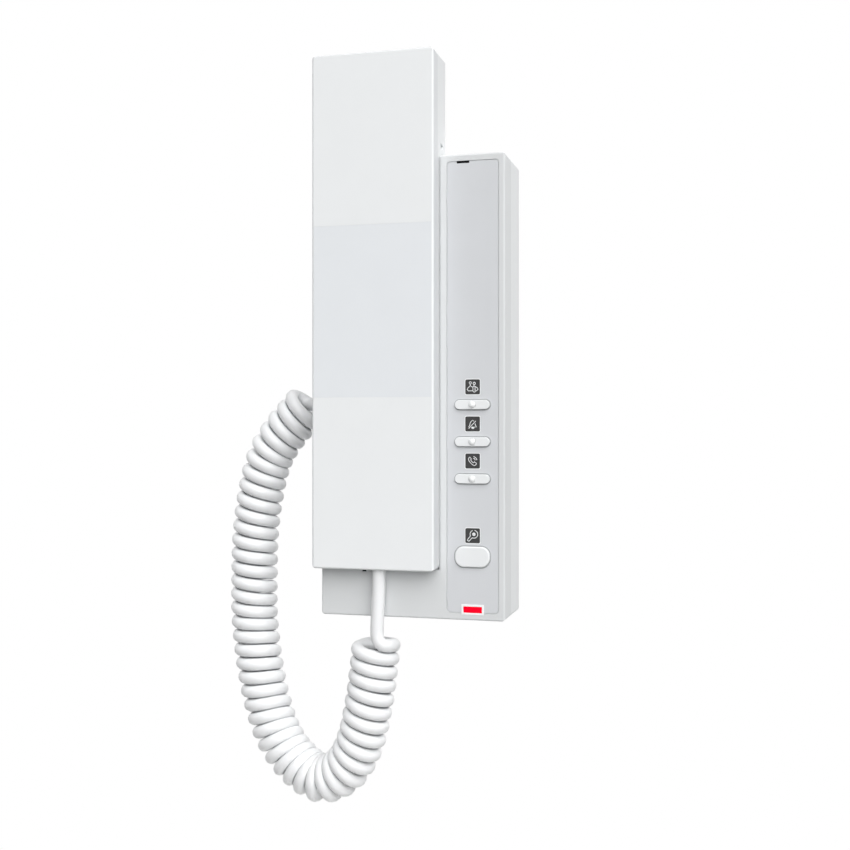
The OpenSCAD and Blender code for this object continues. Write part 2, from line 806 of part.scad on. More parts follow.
// Glass reed switch that the handset's magnet closes
module reed_switch() {
    y = main_board_y[0] - reed_d / 2 - 0.1;
    color("#9fb3a4") {
        rod_x(around(handset_mid, reed_l), y, magnet_z, reed_d);
        for (side = [-1, 1])
            block(around(handset_mid + side * (reed_l + reed_wire) / 2, reed_wire + 0.2),
                [y - 0.3, main_board_y[0]], around(magnet_z, 0.6));
    }
}

module cord_socket() {
    color("#f2f2ee")
        block([main_board_x[0] + 1, main_board_x[0] + 7], [main_board_y[0] - 5.5, main_board_y[0]],
            around(base_gland_z, 9));
}

module ringer_speaker() {
    color("#2f3033") {
        block(ringer_x, ringer_y, ringer_z);
        block(grow(ringer_x, -4), grow(ringer_y, -2), [ringer_z[1], ringer_z[1] + 2]);
    }
}

module ringer_gasket() {
    color(rubber_grey) difference() {
        block(ringer_x, ringer_y, [inner_z[0], ringer_z[0]]);
        block(grow(ringer_x, -1.6), grow(ringer_y, -1.6),
            [inner_z[0] - past, ringer_z[0] + past]);
    }
}

// Four rubber pads in the cradle
module cradle_pads() {
    color(rubber_grey)
        for (side = [-1, 1], z = pad_zs)
            rod_y(handset_mid + side * pad_shift, [cradle_y - pad_t, cradle_y], z, pad_d);
}

// Strain relief where the cord enters the left wall of the base
module base_cord_gland() {
    color(cord_white) {
        rod_x([base_x[0] - 1.5, inner_x[0] + 1.2], base_gland_y, base_gland_z, base_gland_d);
        rod_x([base_x[0] - 1.5, base_x[0]], base_gland_y, base_gland_z, base_gland_d + 2);
        rod_x([inner_x[0], inner_x[0] + 1.2], base_gland_y, base_gland_z, base_gland_d + 2);
        rod_x([base_gland_end, base_x[0]], base_gland_y, base_gland_z, cord_d + 1.2);
    }
}

module cord_lead_base() {
    color(cord_white) tube(base_lead, cord_d, 10);
}

module cord_coil() {
    color(cord_white) tube(coil_axis, coil_d, 12);
}

module cord_lead_handset() {
    color(cord_white) tube(handset_lead, cord_d, 10);
}

// Front shell of the handset, with the seat of the middle band
module handset_front_shell() {
    color(shell_white) difference() {
        union() {
            difference() {
                soft_plate(handset_x, [handset_y, split_y], handset_z, handset_r, handset_edge_r);
                block(shell_in_x, [shell_in_y, split_y + past], shell_in_z);
            }
            for (p = handset_screw_at)
                rod_y(p[0], [handset_y + shell_t / 2, split_y], p[1], front_boss_d);
        }
        block(band_x, [handset_y - past, handset_y + band_t], band_z);
        for (p = handset_screw_at)
            rod_y(p[0], [handset_tip_y - 0.2, split_y + past], p[1], screw_d + 2 * fit);
        rod_z(cord_x, cord_y, [handset_z[0] - past, shell_in_z[0] + past], gland_d + 2 * fit);
    }
}

module handset_band() {
    color(band_grey) block(band_x, [handset_y, handset_y + band_t], band_z);
}

// Rear shell of the handset: slim along the grip, thick where the earpiece hooks over the base
module handset_rear_shell() {
    notch_y = [grip_y - 2.5, grip_y + 2.1];
    notch_z = [hook_z + 2.2, hook_z + 5.2];
    color(shell_white) difference() {
        union() {
            difference() {
                union() {
                    soft_back_plate(handset_x, [split_y, grip_y], handset_z, handset_r,
                        handset_back_r);
                    soft_back_plate(handset_x, [split_y, ear_y], [hook_z, handset_z[1]],
                        handset_r, handset_back_r);
                }
                block(shell_in_x, [split_y - past, grip_in_y], shell_in_z);
                block(shell_in_x, [split_y - past, ear_in_y], [hook_z + shell_t, shell_in_z[1]]);
            }
            for (p = handset_screw_at)
                rod_y(p[0], [split_y, grip_y - shell_t / 2], p[1], rear_boss_d);
        }
        for (p = handset_screw_at) {
            rod_y(p[0], [handset_seat_y, grip_y + past], p[1], head_hole_d);
            rod_y(p[0], [split_y - past, handset_seat_y + past], p[1], shank_hole_d);
        }
        rod_y(handset_mid, [ear_in_y - past, ear_y + past], ear_z, grille_d + 2 * fit);
        for (i = [-1:1])
            block(around(handset_mid + i * mic_slot_pitch, mic_slot_w), [grip_in_y - past, grip_y + past],
                around(mic_z, mic_slot_h));
        for (x = handset_x)
            translate([x - 0.9, 0, 0]) rotate([90, 0, 90]) linear_extrude(1.8)
                polygon([[notch_y[0], notch_z[1]], [notch_y[1], notch_z[1] - 0.4],
                    [notch_y[0] + 0.8, notch_z[0]]]);
        rod_z(cord_x, cord_y, [handset_z[0] - past, shell_in_z[0] + past], gland_d + 2 * fit);
    }
}

module handset_screws() {
    color(steel)
        for (p = handset_screw_at)
            screw_y(p[0], p[1], handset_seat_y, handset_tip_y, screw_d, head_d, head_t);
}

// Slotted disc over the receiver
module earpiece_grille() {
    y = [ear_in_y, ear_y - 0.3];
    color(icon_grey) difference() {
        rod_y(handset_mid, y, ear_z, grille_d);
        for (i = [-3:3])
            block(around(handset_mid + i * 2.8, 1.4), grow(y, past),
                around(ear_z, 2 * sqrt(pow(grille_d / 2 - 2, 2) - pow(i * 2.8, 2))));
    }
}

module earpiece_gasket() {
    y = [ear_in_y - ear_gasket_t, ear_in_y];
    color(rubber_grey) difference() {
        rod_y(handset_mid, y, ear_z, receiver_d);
        rod_y(handset_mid, grow(y, past), ear_z, grille_d - 3);
    }
}

module earpiece_receiver() {
    y = ear_in_y - ear_gasket_t;
    color(steel) {
        rod_y(handset_mid, [y - receiver_t * 0.4, y], ear_z, receiver_d);
        rod_y(handset_mid, [y - receiver_t, y], ear_z, receiver_d * 0.6);
    }
}

module microphone_boot() {
    color(rubber_grey) difference() {
        rod_y(handset_mid, [mic_y[0], grip_in_y], mic_z, mic_d + 2 * mic_wall);
        rod_y(handset_mid, [mic_y[0] - past, mic_y[1]], mic_z, mic_d + 2 * fit);
        rod_y(handset_mid, [mic_y[1] - past, grip_in_y + past], mic_z, mic_d - 3);
    }
}

module microphone_capsule() {
    color(steel) rod_y(handset_mid, mic_y, mic_z, mic_d);
}

module handset_weight() {
    color(steel)
        block(around(handset_mid, weight_w), [grip_in_y - weight_t, grip_in_y], weight_z);
}

module handset_magnet() {
    color("#8f9296")
        rod_y(handset_mid, [grip_in_y - magnet_t, grip_in_y], magnet_z, magnet_d);
}

module handset_board() {
    color(board_green)
        block(around(handset_mid, handset_board_w), [grip_in_y - board_t, grip_in_y], handset_board_z);
}

// Bush that grips the cord in the bottom of the handset
module handset_cord_gland() {
    color(cord_white) {
        rod_z(cord_x, cord_y, [handset_z[0], shell_in_z[0]], gland_d);
        block(around(cord_x, 10), [shell_in_y + fit, split_y + 1.4], [shell_in_z[0], shell_in_z[0] + 2]);
    }
}

// Slim key with a flange that keeps it behind the panel and a stem over its switch
module slim_key(z) {
    color(key_white) difference() {
        union() {
            translate([key_x, flange_y[0], z]) rotate([90, 0, 0])
                linear_extrude(flange_y[0] - front_y + key_proud) key_outline(key_h, key_h / 2 - 0.01, 0);
            translate([key_x, flange_y[1], z]) rotate([90, 0, 0])
                linear_extrude(flange_t) key_outline(key_h, key_h / 2 - 0.01, flange_grow);
            rod_y(key_x + switch_shift, [flange_y[1] - 0.2, stem_y[1]], z, plunger_d);
        }
        rod_y(key_x, [front_y - key_proud - past, flange_y[1] + past], z, lens_d - 0.6 + 2 * fit);
    }
}

// Clear lens: a light pipe through the key with a dome in front
module key_lens(z) {
    face = front_y - key_proud;
    dome_r = (pow(lens_d / 2, 2) + pow(lens_h, 2)) / (2 * lens_h);
    color("#f4f5f6") {
        rod_y(key_x, [face, flange_y[1]], z, lens_d - 0.6);
        intersection() {
            translate([key_x, face - lens_h + dome_r, z]) sphere(dome_r);
            rod_y(key_x, [face - 2 * lens_h, face], z, lens_d);
        }
    }
}

module switch_plunger(p) {
    color("#8b2f2a") rod_y(p[0], [stem_y[1], switch_y[0] + plunger_in], p[1], plunger_d);
}

module unlock_key() {
    color(key_white) {
        translate([key_x, flange_y[0], unlock_mid_z]) rotate([90, 0, 0])
            linear_extrude(flange_y[0] - front_y + key_proud) key_outline(unlock_h, unlock_r, 0);
        translate([key_x, flange_y[1], unlock_mid_z]) rotate([90, 0, 0])
            linear_extrude(flange_t) key_outline(unlock_h, unlock_r, flange_grow);
        rod_y(key_x, [flange_y[1] - 0.2, stem_y[1]], unlock_mid_z, plunger_d);
    }
}

wall_plate();
rear_housing();
front_cover();
cover_screws();
locking_screw();
control_panel();
icon_tiles();
status_bezel();
status_window();
key_board();
key_board_screws();
key_switches();
key_leds();
status_led();
main_board();
main_board_screws();
board_parts();
terminal_block();
terminal_screws();
ribbon_connectors();
ribbon_cable();
reed_switch();
cord_socket();
ringer_speaker();
ringer_gasket();
cradle_pads();
base_cord_gland();
cord_lead_base();
cord_coil();
handset_front_shell();
handset_band();
handset_rear_shell();
handset_screws();
earpiece_grille();
earpiece_gasket();
earpiece_receiver();
microphone_boot();
microphone_capsule();
handset_weight();
handset_magnet();
handset_board();
handset_cord_gland();
cord_lead_handset();
slim_key(key_zs[0]);  // guard_key
key_lens(key_zs[0]);  // guard_lens
switch_plunger(switch_at[0]);  // guard_plunger
slim_key(key_zs[1]);  // mute_key
key_lens(key_zs[1]);  // mute_lens
switch_plunger(switch_at[1]);  // mute_plunger
slim_key(key_zs[2]);  // call_key
key_lens(key_zs[2]);  // call_lens
switch_plunger(switch_at[2]);  // call_plunger
unlock_key();
switch_plunger(switch_at[3]);  // unlock_plunger
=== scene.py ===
import bpy
import bmesh
import math
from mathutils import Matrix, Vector


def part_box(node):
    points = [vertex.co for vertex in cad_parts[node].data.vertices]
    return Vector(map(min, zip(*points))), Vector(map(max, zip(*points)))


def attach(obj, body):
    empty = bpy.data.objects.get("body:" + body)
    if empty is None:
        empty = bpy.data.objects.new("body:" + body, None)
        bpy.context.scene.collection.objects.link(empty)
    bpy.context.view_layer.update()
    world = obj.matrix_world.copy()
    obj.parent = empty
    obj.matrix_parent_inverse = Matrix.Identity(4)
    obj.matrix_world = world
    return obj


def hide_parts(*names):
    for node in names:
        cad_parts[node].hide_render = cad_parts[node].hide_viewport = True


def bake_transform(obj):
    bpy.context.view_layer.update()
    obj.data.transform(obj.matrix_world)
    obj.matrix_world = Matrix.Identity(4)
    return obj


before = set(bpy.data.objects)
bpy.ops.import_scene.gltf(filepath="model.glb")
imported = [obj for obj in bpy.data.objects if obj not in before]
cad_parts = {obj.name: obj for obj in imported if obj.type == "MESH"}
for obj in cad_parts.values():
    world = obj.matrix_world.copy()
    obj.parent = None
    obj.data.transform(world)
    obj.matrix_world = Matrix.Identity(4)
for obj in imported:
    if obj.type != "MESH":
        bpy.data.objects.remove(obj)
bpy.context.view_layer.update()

# Studio: white room that is brighter overhead, soft daylight from the upper right, weak lamps that graze the
# sides and reach the back, and a pale floor well below the wall base.
# The camera stands level with the base, turned 15 degrees, with a normal 50 mm lens.
MM = 0.001
scene = bpy.context.scene
scene.view_settings.view_transform = "Standard"

lens = bpy.data.cameras.new("camera")
lens.lens = 50
lens.sensor_width = 36
camera = bpy.data.objects.new("camera", lens)
camera.location = (0.1272, -0.4838, -0.015)
camera.rotation_euler = (math.radians(90), 0, math.radians(15))
scene.collection.objects.link(camera)
scene.camera = camera


def linear(code):
    """Colour written as an sRGB hex code, as linear RGBA."""
    parts = [int(code[i:i + 2], 16) / 255 for i in (1, 3, 5)]
    return (*[c / 12.92 if c <= 0.04045 else ((c + 0.055) / 1.055) ** 2.4 for c in parts], 1.0)


def node(tree, kind, inputs=None, **settings):
    """Add a node with its settings; an input is a value, the socket that feeds it, or a list of sockets."""
    made = tree.nodes.new(kind)
    for key, value in settings.items():
        setattr(made, key, value)
    for key, value in (inputs or {}).items():
        if isinstance(value, (bpy.types.NodeSocket, list)):
            for source in value if isinstance(value, list) else [value]:
                tree.links.new(source, made.inputs[key])
        else:
            made.inputs[key].default_value = value
    return made


# The room lights the part dimly, and more from above; seen, mirrored or through glass it is white paper
horizon_band = 0.35
low_light, high_light = 0.05, 0.16
white = (1, 1, 1, 1)
world = bpy.data.worlds.new("white_room")
world.use_nodes = True
scene.world = world
sky = world.node_tree
sky.nodes.clear()
ray = node(sky, "ShaderNodeLightPath")
seen = node(sky, "ShaderNodeMath", {0: ray.outputs["Is Camera Ray"], 1: ray.outputs["Is Glossy Ray"]},
            operation="MAXIMUM")
seen = node(sky, "ShaderNodeMath", {0: seen.outputs[0], 1: ray.outputs["Is Transmission Ray"]},
            operation="MAXIMUM")
way = node(sky, "ShaderNodeSeparateXYZ", {0: node(sky, "ShaderNodeTexCoord").outputs["Generated"]})
height = node(sky, "ShaderNodeMapRange", {"Value": way.outputs["Z"], "From Min": -horizon_band,
                                          "From Max": horizon_band, "To Min": low_light, "To Max": high_light})
room = node(sky, "ShaderNodeBackground", {"Color": white, "Strength": height.outputs[0]})
paper = node(sky, "ShaderNodeBackground", {"Color": white, "Strength": 1.0})
both = node(sky, "ShaderNodeMixShader", {0: seen.outputs[0], 1: room.outputs[0], 2: paper.outputs[0]})
node(sky, "ShaderNodeOutputWorld", {"Surface": both.outputs[0]})

daylight = bpy.data.lights.new("daylight", "SUN")
daylight.energy = 3.66
daylight.angle = math.radians(76)
daylight_object = bpy.data.objects.new("daylight", daylight)
daylight_from = Vector((0.41, -0.69, 0.6))
daylight_object.rotation_euler = daylight_from.to_track_quat("Z", "Y").to_euler()
scene.collection.objects.link(daylight_object)

lamp_size = 0.45
for lamp_name, place, energy in (("right_lamp", (0.56, 0.16, 0.4), 1.15),
                                 ("left_lamp", (-0.65, 0.05, 0.15), 1.0),
                                 ("wall_side_lamp", (0.1, 0.85, 0.2), 2.8)):
    lamp = bpy.data.lights.new(lamp_name, "AREA")
    lamp.energy = energy
    lamp.size = lamp_size
    lamp_object = bpy.data.objects.new(lamp_name, lamp)
    lamp_object.location = place
    lamp_object.visible_glossy = False
    lamp_object.rotation_euler = Vector(place).to_track_quat("Z", "Y").to_euler()
    scene.collection.objects.link(lamp_object)


def blank_material(name):
    """New material, its empty node tree, and the coordinates of the object that wears it."""
    made = bpy.data.materials.new(name)
    made.use_nodes = True
    made.node_tree.nodes.clear()
    return made, made.node_tree, node(made.node_tree, "ShaderNodeTexCoord").outputs["Object"]


floor_z = -0.52
floor_r = 0.38
floor_sides = 96
floor_mesh = bpy.data.meshes.new("floor")
ring = [(floor_r * math.cos(a), floor_r * math.sin(a), floor_z)
        for a in (math.tau * i / floor_sides for i in range(floor_sides))]
floor_mesh.from_pydata(ring, [], [list(range(floor_sides))])
floor = bpy.data.objects.new("floor", floor_mesh)
scene.collection.objects.link(floor)
# Matt painted board: an even pale grey with a faint roller mottle
mottle_mm = 30
paint, tree, where = blank_material("matt_painted_board")
mottle = node(tree, "ShaderNodeTexNoise", {"Vector": where, "Scale": 1 / (mottle_mm * MM), "Detail": 3})
shade = node(tree, "ShaderNodeMixRGB", {"Fac": mottle.outputs["Fac"], "Color1": linear("#eeeeec"),
                                        "Color2": linear("#f5f5f3")})
matt = node(tree, "ShaderNodeBsdfPrincipled", {"Base Color": shade.outputs[0], "Roughness": 0.85})
node(tree, "ShaderNodeOutputMaterial", {"Surface": matt.outputs[0]})
floor_mesh.materials.append(paint)

# Curly cord: one round wire of soft white PVC, wound left-handed on a mandrel and set by heat. It leaves the
# base on the left, hangs in a loop and runs straight up into the handset's bottom; both ends are clamped inside.
cord_d = 5.4
coil_r = 7.3
hung_pitch = 5.74
hung_turns = 24.7
bend_pitch = 5.15
bend_turns = 8.3
rising_pitch = 5.47
turns = 44
turn_steps = 24
coil_start = -2.2
coil_axis = [(-53.4, -11, -9), (-61.4, -11, -18), (-68.4, -11, -29), (-72.5, -11, -44), (-75, -11, -62),
             (-75.5, -11, -80), (-75.4, -11, -98), (-72.7, -12, -117), (-68.5, -13, -134),
             (-62.2, -15, -147.6), (-52.7, -17, -157.6), (-41, -20, -162), (-30, -23, -156), (-23, -25, -144),
             (-19, -26, -128), (-17, -26, -114), (-16, -26, -104)]
base_exit = Vector((-46, -11, -6))
handset_exit = Vector((-12.55, -33.2, -72.5))
lead_foot = Vector((-13.4, -33.2, -97.5))


def smooth_line(points, step):
    """Points every step along a smooth curve through the points given."""
    span_steps = 60
    shortest_end = 0.4
    pts = [Vector(p) for p in points]
    pts = [2 * pts[0] - pts[1], *pts, 2 * pts[-1] - pts[-2]]
    fine = []
    for a, b, c, d in zip(pts, pts[1:], pts[2:], pts[3:]):
        for k in range(span_steps):
            t = k / span_steps
            fine.append(0.5 * (2 * b + (c - a) * t + (2 * a - 5 * b + 4 * c - d) * t ** 2
                               + (3 * b - a - 3 * c + d) * t ** 3))
    fine.append(pts[-2])
    out, run, goal = [fine[0]], 0.0, step
    for p, q in zip(fine, fine[1:]):
        gap = (q - p).length
        while gap and run + gap >= goal:
            out.append(p.lerp(q, (goal - run) / gap))
            goal += step
        run += gap
    if (out[-1] - fine[-1]).length > step * shortest_end:
        out.append(fine[-1])
    else:
        out[-1] = fine[-1]
    return out


axis_step = 0.25
axis = smooth_line(coil_axis, axis_step)


def coil_point(turn, radius):
    """Point on the coil after so many turns. The loop's weight opens the turns of the base's limb a little and
    closes those in the bend."""
    look = 4
    late = max(turn - hung_turns, 0)
    s = coil_start + hung_pitch * min(turn, hung_turns)
    s += bend_pitch * min(late, bend_turns) + rising_pitch * max(late - bend_turns, 0)
    i = min(max(int(s / axis_step), 0), len(axis) - 2)
    ahead = (axis[min(i + look, len(axis) - 1)] - axis[max(i - look, 0)]).normalized()
    centre = axis[i] + ahead * (s - i * axis_step)
    side = Vector((ahead.z, 0, -ahead.x)).normalized()
    front = side.cross(ahead)
    angle = math.tau * turn
    return centre + radius * (math.cos(angle) * side + math.sin(angle) * front)


def bent(start, way, end, arrival, reach):
    """Points on an even bend from one point and heading to another."""
    steps = 8
    a, b = start + way.normalized() * reach, end - arrival.normalized() * reach
    return [(1 - t) ** 3 * start + 3 * t * (1 - t) ** 2 * a + 3 * t ** 2 * (1 - t) * b + t ** 3 * end
            for t in (i / steps for i in range(steps + 1))]


entry_turn, entry_r, entry_steps = 0.04, 3.6, 5
outward, collar_l, base_reach = Vector((-1, 0, 0)), 0.6, 2.5
lead_way, lead_reach = Vector((0.02, 0, 1)), 6.2
wire_step = 1.4
coil = [coil_point(i / turn_steps, coil_r) for i in range(turns * turn_steps + 2)]
entry = [coil_point(entry_turn * (i - entry_steps), entry_r + (coil_r - entry_r) * i / entry_steps)
         for i in range(entry_steps)]
wire = [base_exit] + bent(base_exit + outward * collar_l, outward, entry[0], entry[1] - entry[0], base_reach)
wire += entry[1:] + coil[:-1] + bent(coil[-1], coil[-1] - coil[-2], lead_foot, lead_way, lead_reach)
lead = [(-13.3, -94.5), (-13.05, -89), (-12.75, -83), (-12.58, -78), (-12.55, -75.5)]
wire += [Vector((x, handset_exit.y, z)) for x, z in lead] + [handset_exit]
wire = [p * MM for p in smooth_line(wire, wire_step)]


def moulded_plastic(name, light, dark, rough, grain_mm, depth_mm, cloud_mm=14, specular=0.5, coat=0.0,
                    milky_mm=0, crease_shade=None):
    """Moulded plastic: its two tones drift over the cloud's size, and a texture from the mould breaks the gloss.
    The texture is drawn coarser than a real mould's, so that it shows in the render. Soft grades are milky: light
    spreads so many mm inside them. Where a colour and a reach in mm are given, the creases are greyed: painted
    shade."""
    gloss_swing, relief_strength = 0.06, 0.5
    plastic_ior, coat_rough = 1.53, 0.08
    made, tree, where = blank_material(name)
    cloud = node(tree, "ShaderNodeTexNoise", {"Vector": where, "Scale": 1 / (cloud_mm * MM), "Detail": 2})
    tone = node(tree, "ShaderNodeMixRGB", {"Fac": cloud.outputs["Fac"], "Color1": linear(dark),
                                           "Color2": linear(light)})
    # Painted shade: creases are greyed as far as the occlusion node finds them closed in
    if crease_shade:
        crease_shade_colour, reach_mm = crease_shade
        full_shade_at, clear = 0.25, 0.8
        open_sky = node(tree, "ShaderNodeAmbientOcclusion", {"Distance": reach_mm * MM}, samples=12,
                        only_local=True)
        clean = node(tree, "ShaderNodeMapRange", {"Value": open_sky.outputs["AO"], "From Min": full_shade_at,
                                                  "From Max": clear})
        tone = node(tree, "ShaderNodeMixRGB", {"Fac": clean.outputs[0], "Color1": linear(crease_shade_colour),
                                               "Color2": tone.outputs[0]})
    grain = node(tree, "ShaderNodeTexNoise", {"Vector": where, "Scale": 1 / (grain_mm * MM), "Detail": 2})
    gloss = node(tree, "ShaderNodeMapRange", {"Value": grain.outputs["Fac"], "To Min": rough - gloss_swing,
                                              "To Max": rough + gloss_swing})
    relief = node(tree, "ShaderNodeBump", {"Height": grain.outputs["Fac"], "Strength": relief_strength,
                                           "Distance": depth_mm * MM})
    skin = node(tree, "ShaderNodeBsdfPrincipled", {
        "Base Color": tone.outputs[0], "Roughness": gloss.outputs[0], "Normal": relief.outputs[0],
        "IOR": plastic_ior, "Specular IOR Level": specular, "Coat Weight": coat, "Coat Roughness": coat_rough,
        "Subsurface Weight": 1.0 if milky_mm else 0.0, "Subsurface Radius": (1, 1, 1),
        "Subsurface Scale": milky_mm * MM})
    node(tree, "ShaderNodeOutputMaterial", {"Surface": skin.outputs[0]})
    return made


# Soft PVC jacket, extruded: smooth and milky with a low sheen; painted shade greys the creases between its turns
cord_pvc = moulded_plastic("extruded_white_pvc", "#f2f3f4", "#eeeff0", rough=0.38, grain_mm=0.5, depth_mm=0.004,
                           milky_mm=0.35, crease_shade=("#bcbec0", 1.2))


def geometry_tree(name, sizes):
    """Empty geometry node tree, with a named input for each size and one for the material."""
    tree = bpy.data.node_groups.new(name, "GeometryNodeTree")
    tree.interface.new_socket("Geometry", in_out="INPUT", socket_type="NodeSocketGeometry")
    for size in sizes:
        tree.interface.new_socket(size, in_out="INPUT", socket_type="NodeSocketFloat")
    tree.interface.new_socket("Material", in_out="INPUT", socket_type="NodeSocketMaterial")
    tree.interface.new_socket("Geometry", in_out="OUTPUT", socket_type="NodeSocketGeometry")
    return tree, node(tree, "NodeGroupInput").outputs


def finish_tree(tree, given, geometry):
    """End of a tree: real geometry in the given material."""
    real = node(tree, "GeometryNodeRealizeInstances", {"Geometry": geometry})
    skin = node(tree, "GeometryNodeSetMaterial", {"Geometry": real.outputs[0], "Material": given["Material"]})
    node(tree, "NodeGroupOutput", {"Geometry": skin.outputs[0]})


def grown(source, tree, inputs, name):
    """Plain object of what the tree makes of the source, which is removed afterwards."""
    scene.collection.objects.link(source)
    modifier = source.modifiers.new(tree.name, "NODES")
    modifier.node_group = tree
    for socket in tree.interface.items_tree:
        if socket.name in inputs:
            modifier[socket.identifier] = inputs[socket.name]
    bpy.context.view_layer.update()
    graph = bpy.context.evaluated_depsgraph_get()
    mesh = bpy.data.meshes.new_from_object(source.evaluated_get(graph), depsgraph=graph)
    bpy.data.objects.remove(source)
    mesh.name = name
    made = bpy.data.objects.new(name, mesh)
    scene.collection.objects.link(made)
    return made


sweep_sides = 16
round_sweep, given = geometry_tree("round_sweep", ["Thickness"])
radius = node(round_sweep, "ShaderNodeMath", {0: given["Thickness"], 1: 0.5}, operation="MULTIPLY")
section = node(round_sweep, "GeometryNodeCurvePrimitiveCircle", {"Resolution": sweep_sides,
                                                                 "Radius": radius.outputs[0]})
tube = node(round_sweep, "GeometryNodeCurveToMesh", {"Curve": given["Geometry"],
                                                     "Profile Curve": section.outputs["Curve"],
                                                     "Fill Caps": True})
soft = node(round_sweep, "GeometryNodeSetShadeSmooth", {"Geometry": tube.outputs["Mesh"]})
finish_tree(round_sweep, given, soft.outputs["Geometry"])


def swept(name, routes, thickness, material, closed=False):
    """Round section of one thickness, swept along one or more routes of points."""
    lines = bpy.data.curves.new(name, "CURVE")
    lines.dimensions = "3D"
    for route in routes:
        spline = lines.splines.new("POLY")
        spline.points.add(len(route) - 1)
        spline.use_cyclic_u = closed
        for point, place in zip(spline.points, route):
            point.co = (*place, 1)
    return grown(bpy.data.objects.new(name, lines), round_sweep,
                 {"Thickness": thickness, "Material": material}, name)


cord = swept("curly_cord", [wire], cord_d * MM, cord_pvc)
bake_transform(cord)
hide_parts("cord_lead_base", "cord_coil", "cord_lead_handset")

# Strain reliefs: the cord's collars, moulded on it in the same PVC. They are held in the walls of base and
# handset, so that a pull on the cord stays off the joints of its wires.


def dress(material, *names):
    """Give CAD nodes that keep their shape the finish of the real material."""
    for name in names:
        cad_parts[name].material_slots[0].material = material


dress(cord_pvc, "base_cord_gland", "handset_cord_gland")

# Wall plate: pressed from zinc plated steel sheet and screwed to the wall. The base hangs on its four hooks, and
# its tab takes the locking screw.


def plated_steel(name, light, dark, rough, spangle_mm):
    """Plated sheet or turned steel: small crystals vary tone and gloss. They are drawn coarser than real ones, so
    that they show in the render."""
    gloss_swing = 0.08
    made, tree, where = blank_material(name)
    spangle = node(tree, "ShaderNodeTexVoronoi", {"Vector": where, "Scale": 1 / (spangle_mm * MM)})
    tone = node(tree, "ShaderNodeMixRGB", {"Fac": spangle.outputs["Color"], "Color1": linear(dark),
                                           "Color2": linear(light)})
    gloss = node(tree, "ShaderNodeMapRange", {"Value": spangle.outputs["Distance"],
                                              "To Min": rough - gloss_swing, "To Max": rough + gloss_swing})
    skin = node(tree, "ShaderNodeBsdfPrincipled", {"Base Color": tone.outputs[0], "Metallic": 1.0,
                                                   "Roughness": gloss.outputs[0]})
    node(tree, "ShaderNodeOutputMaterial", {"Surface": skin.outputs[0]})
    return made


# Zinc plating: blue-white and satin, with a fine spangle
zinc_sheet = plated_steel("zinc_plated_steel_sheet", "#c9cdd2", "#b4b9bf", rough=0.38, spangle_mm=0.9)
dress(zinc_sheet, "wall_plate")

# Rear housing: an injection moulded ABS tray with screw bosses, board posts and a pocket for the wall plate. The
# cover's screws are driven through it from the wall side.
weld_m = 2e-6


def moulding(cad_node, name, break_mm, rounds=()):
    """Copy of a CAD node as a clean moulding: chosen edges are rounded, and every sharp edge is broken a little.
    Each round is its radius in mm, its steps and a test that picks its edges."""
    flat_angle, smooth_angle, break_angle = (math.radians(a) for a in (0.4, 32, 50))
    edge_angle = 0.6
    bm = bmesh.new()
    bm.from_mesh(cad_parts[cad_node].data)
    bmesh.ops.remove_doubles(bm, verts=bm.verts, dist=weld_m)
    bmesh.ops.dissolve_limit(bm, angle_limit=flat_angle, verts=bm.verts, edges=bm.edges, delimit={"NORMAL"})
    for radius, steps, test in rounds:
        edges = [e for e in bm.edges
                 if len(e.link_faces) == 2 and e.calc_face_angle() > edge_angle and test(e)]
        bmesh.ops.bevel(bm, geom=edges, offset=radius * MM, segments=steps, profile=0.5, affect="EDGES",
                        clamp_overlap=True)
        bmesh.ops.remove_doubles(bm, verts=bm.verts, dist=weld_m)
        bmesh.ops.dissolve_degenerate(bm, dist=weld_m, edges=bm.edges)
    mesh = bpy.data.meshes.new(name)
    bm.to_mesh(mesh)
    bm.free()
    mesh.shade_smooth()
    mesh.set_sharp_from_angle(angle=smooth_angle)
    piece = bpy.data.objects.new(name, mesh)
    scene.collection.objects.link(piece)
    if break_mm:
        breaks = piece.modifiers.new("edge_breaks", "BEVEL")
        breaks.width = break_mm * MM
        breaks.segments = 2
        breaks.limit_method = "ANGLE"
        breaks.angle_limit = break_angle
    even = piece.modifiers.new("even_faces", "WEIGHTED_NORMAL")
    even.keep_sharp = True
    even.weight = 100
    return piece


def fit(piece, material, body, slot, *nodes):
    """Finish a piece, join it to its body and let it stand for its CAD nodes."""
    piece.data.materials.clear()
    piece.data.materials.append(material)
    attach(piece, body)
    if nodes:
        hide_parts(*nodes)
    return piece


# ABS, moulded in a fine spark-eroded tool: soft off-white with a dull sheen
housing_abs = moulded_plastic("moulded_abs_pale_grey", "#e2e4e5", "#dee0e1", rough=0.46, grain_mm=0.35,
                              depth_mm=0.006)
fit(moulding("rear_housing", "rear_housing_moulding", break_mm=0.15), housing_abs, "base", "shell_abs",
    "rear_housing")

# Main board: glass-epoxy laminate on four posts, with chips, capacitors, screw terminals, the plug of the cord,
# a flat cable to the key board and a glass reed switch that the handset's magnet closes.
track_mm, flow_mm = 6, 2
# Solder mask over laminate: deep green gloss, copper tracks show as slightly lighter straight bands
solder_mask, tree, where = blank_material("solder_masked_laminate")
tracks = node(tree, "ShaderNodeTexBrick", {"Vector": where, "Scale": 1 / (track_mm * MM),
                                           "Color1": linear("#1f6b43"), "Color2": linear("#267a4d"),
                                           "Mortar": linear("#185636"), "Mortar Size": 0.05})
flow = node(tree, "ShaderNodeTexNoise", {"Vector": where, "Scale": 1 / (flow_mm * MM)})
gloss = node(tree, "ShaderNodeMapRange", {"Value": flow.outputs["Fac"], "To Min": 0.25, "To Max": 0.4})
skin = node(tree, "ShaderNodeBsdfPrincipled", {"Base Color": tracks.outputs["Color"],
                                               "Roughness": gloss.outputs[0], "IOR": 1.55})
node(tree, "ShaderNodeOutputMaterial", {"Surface": skin.outputs[0]})
dress(solder_mask, "main_board", "key_board", "handset_board")
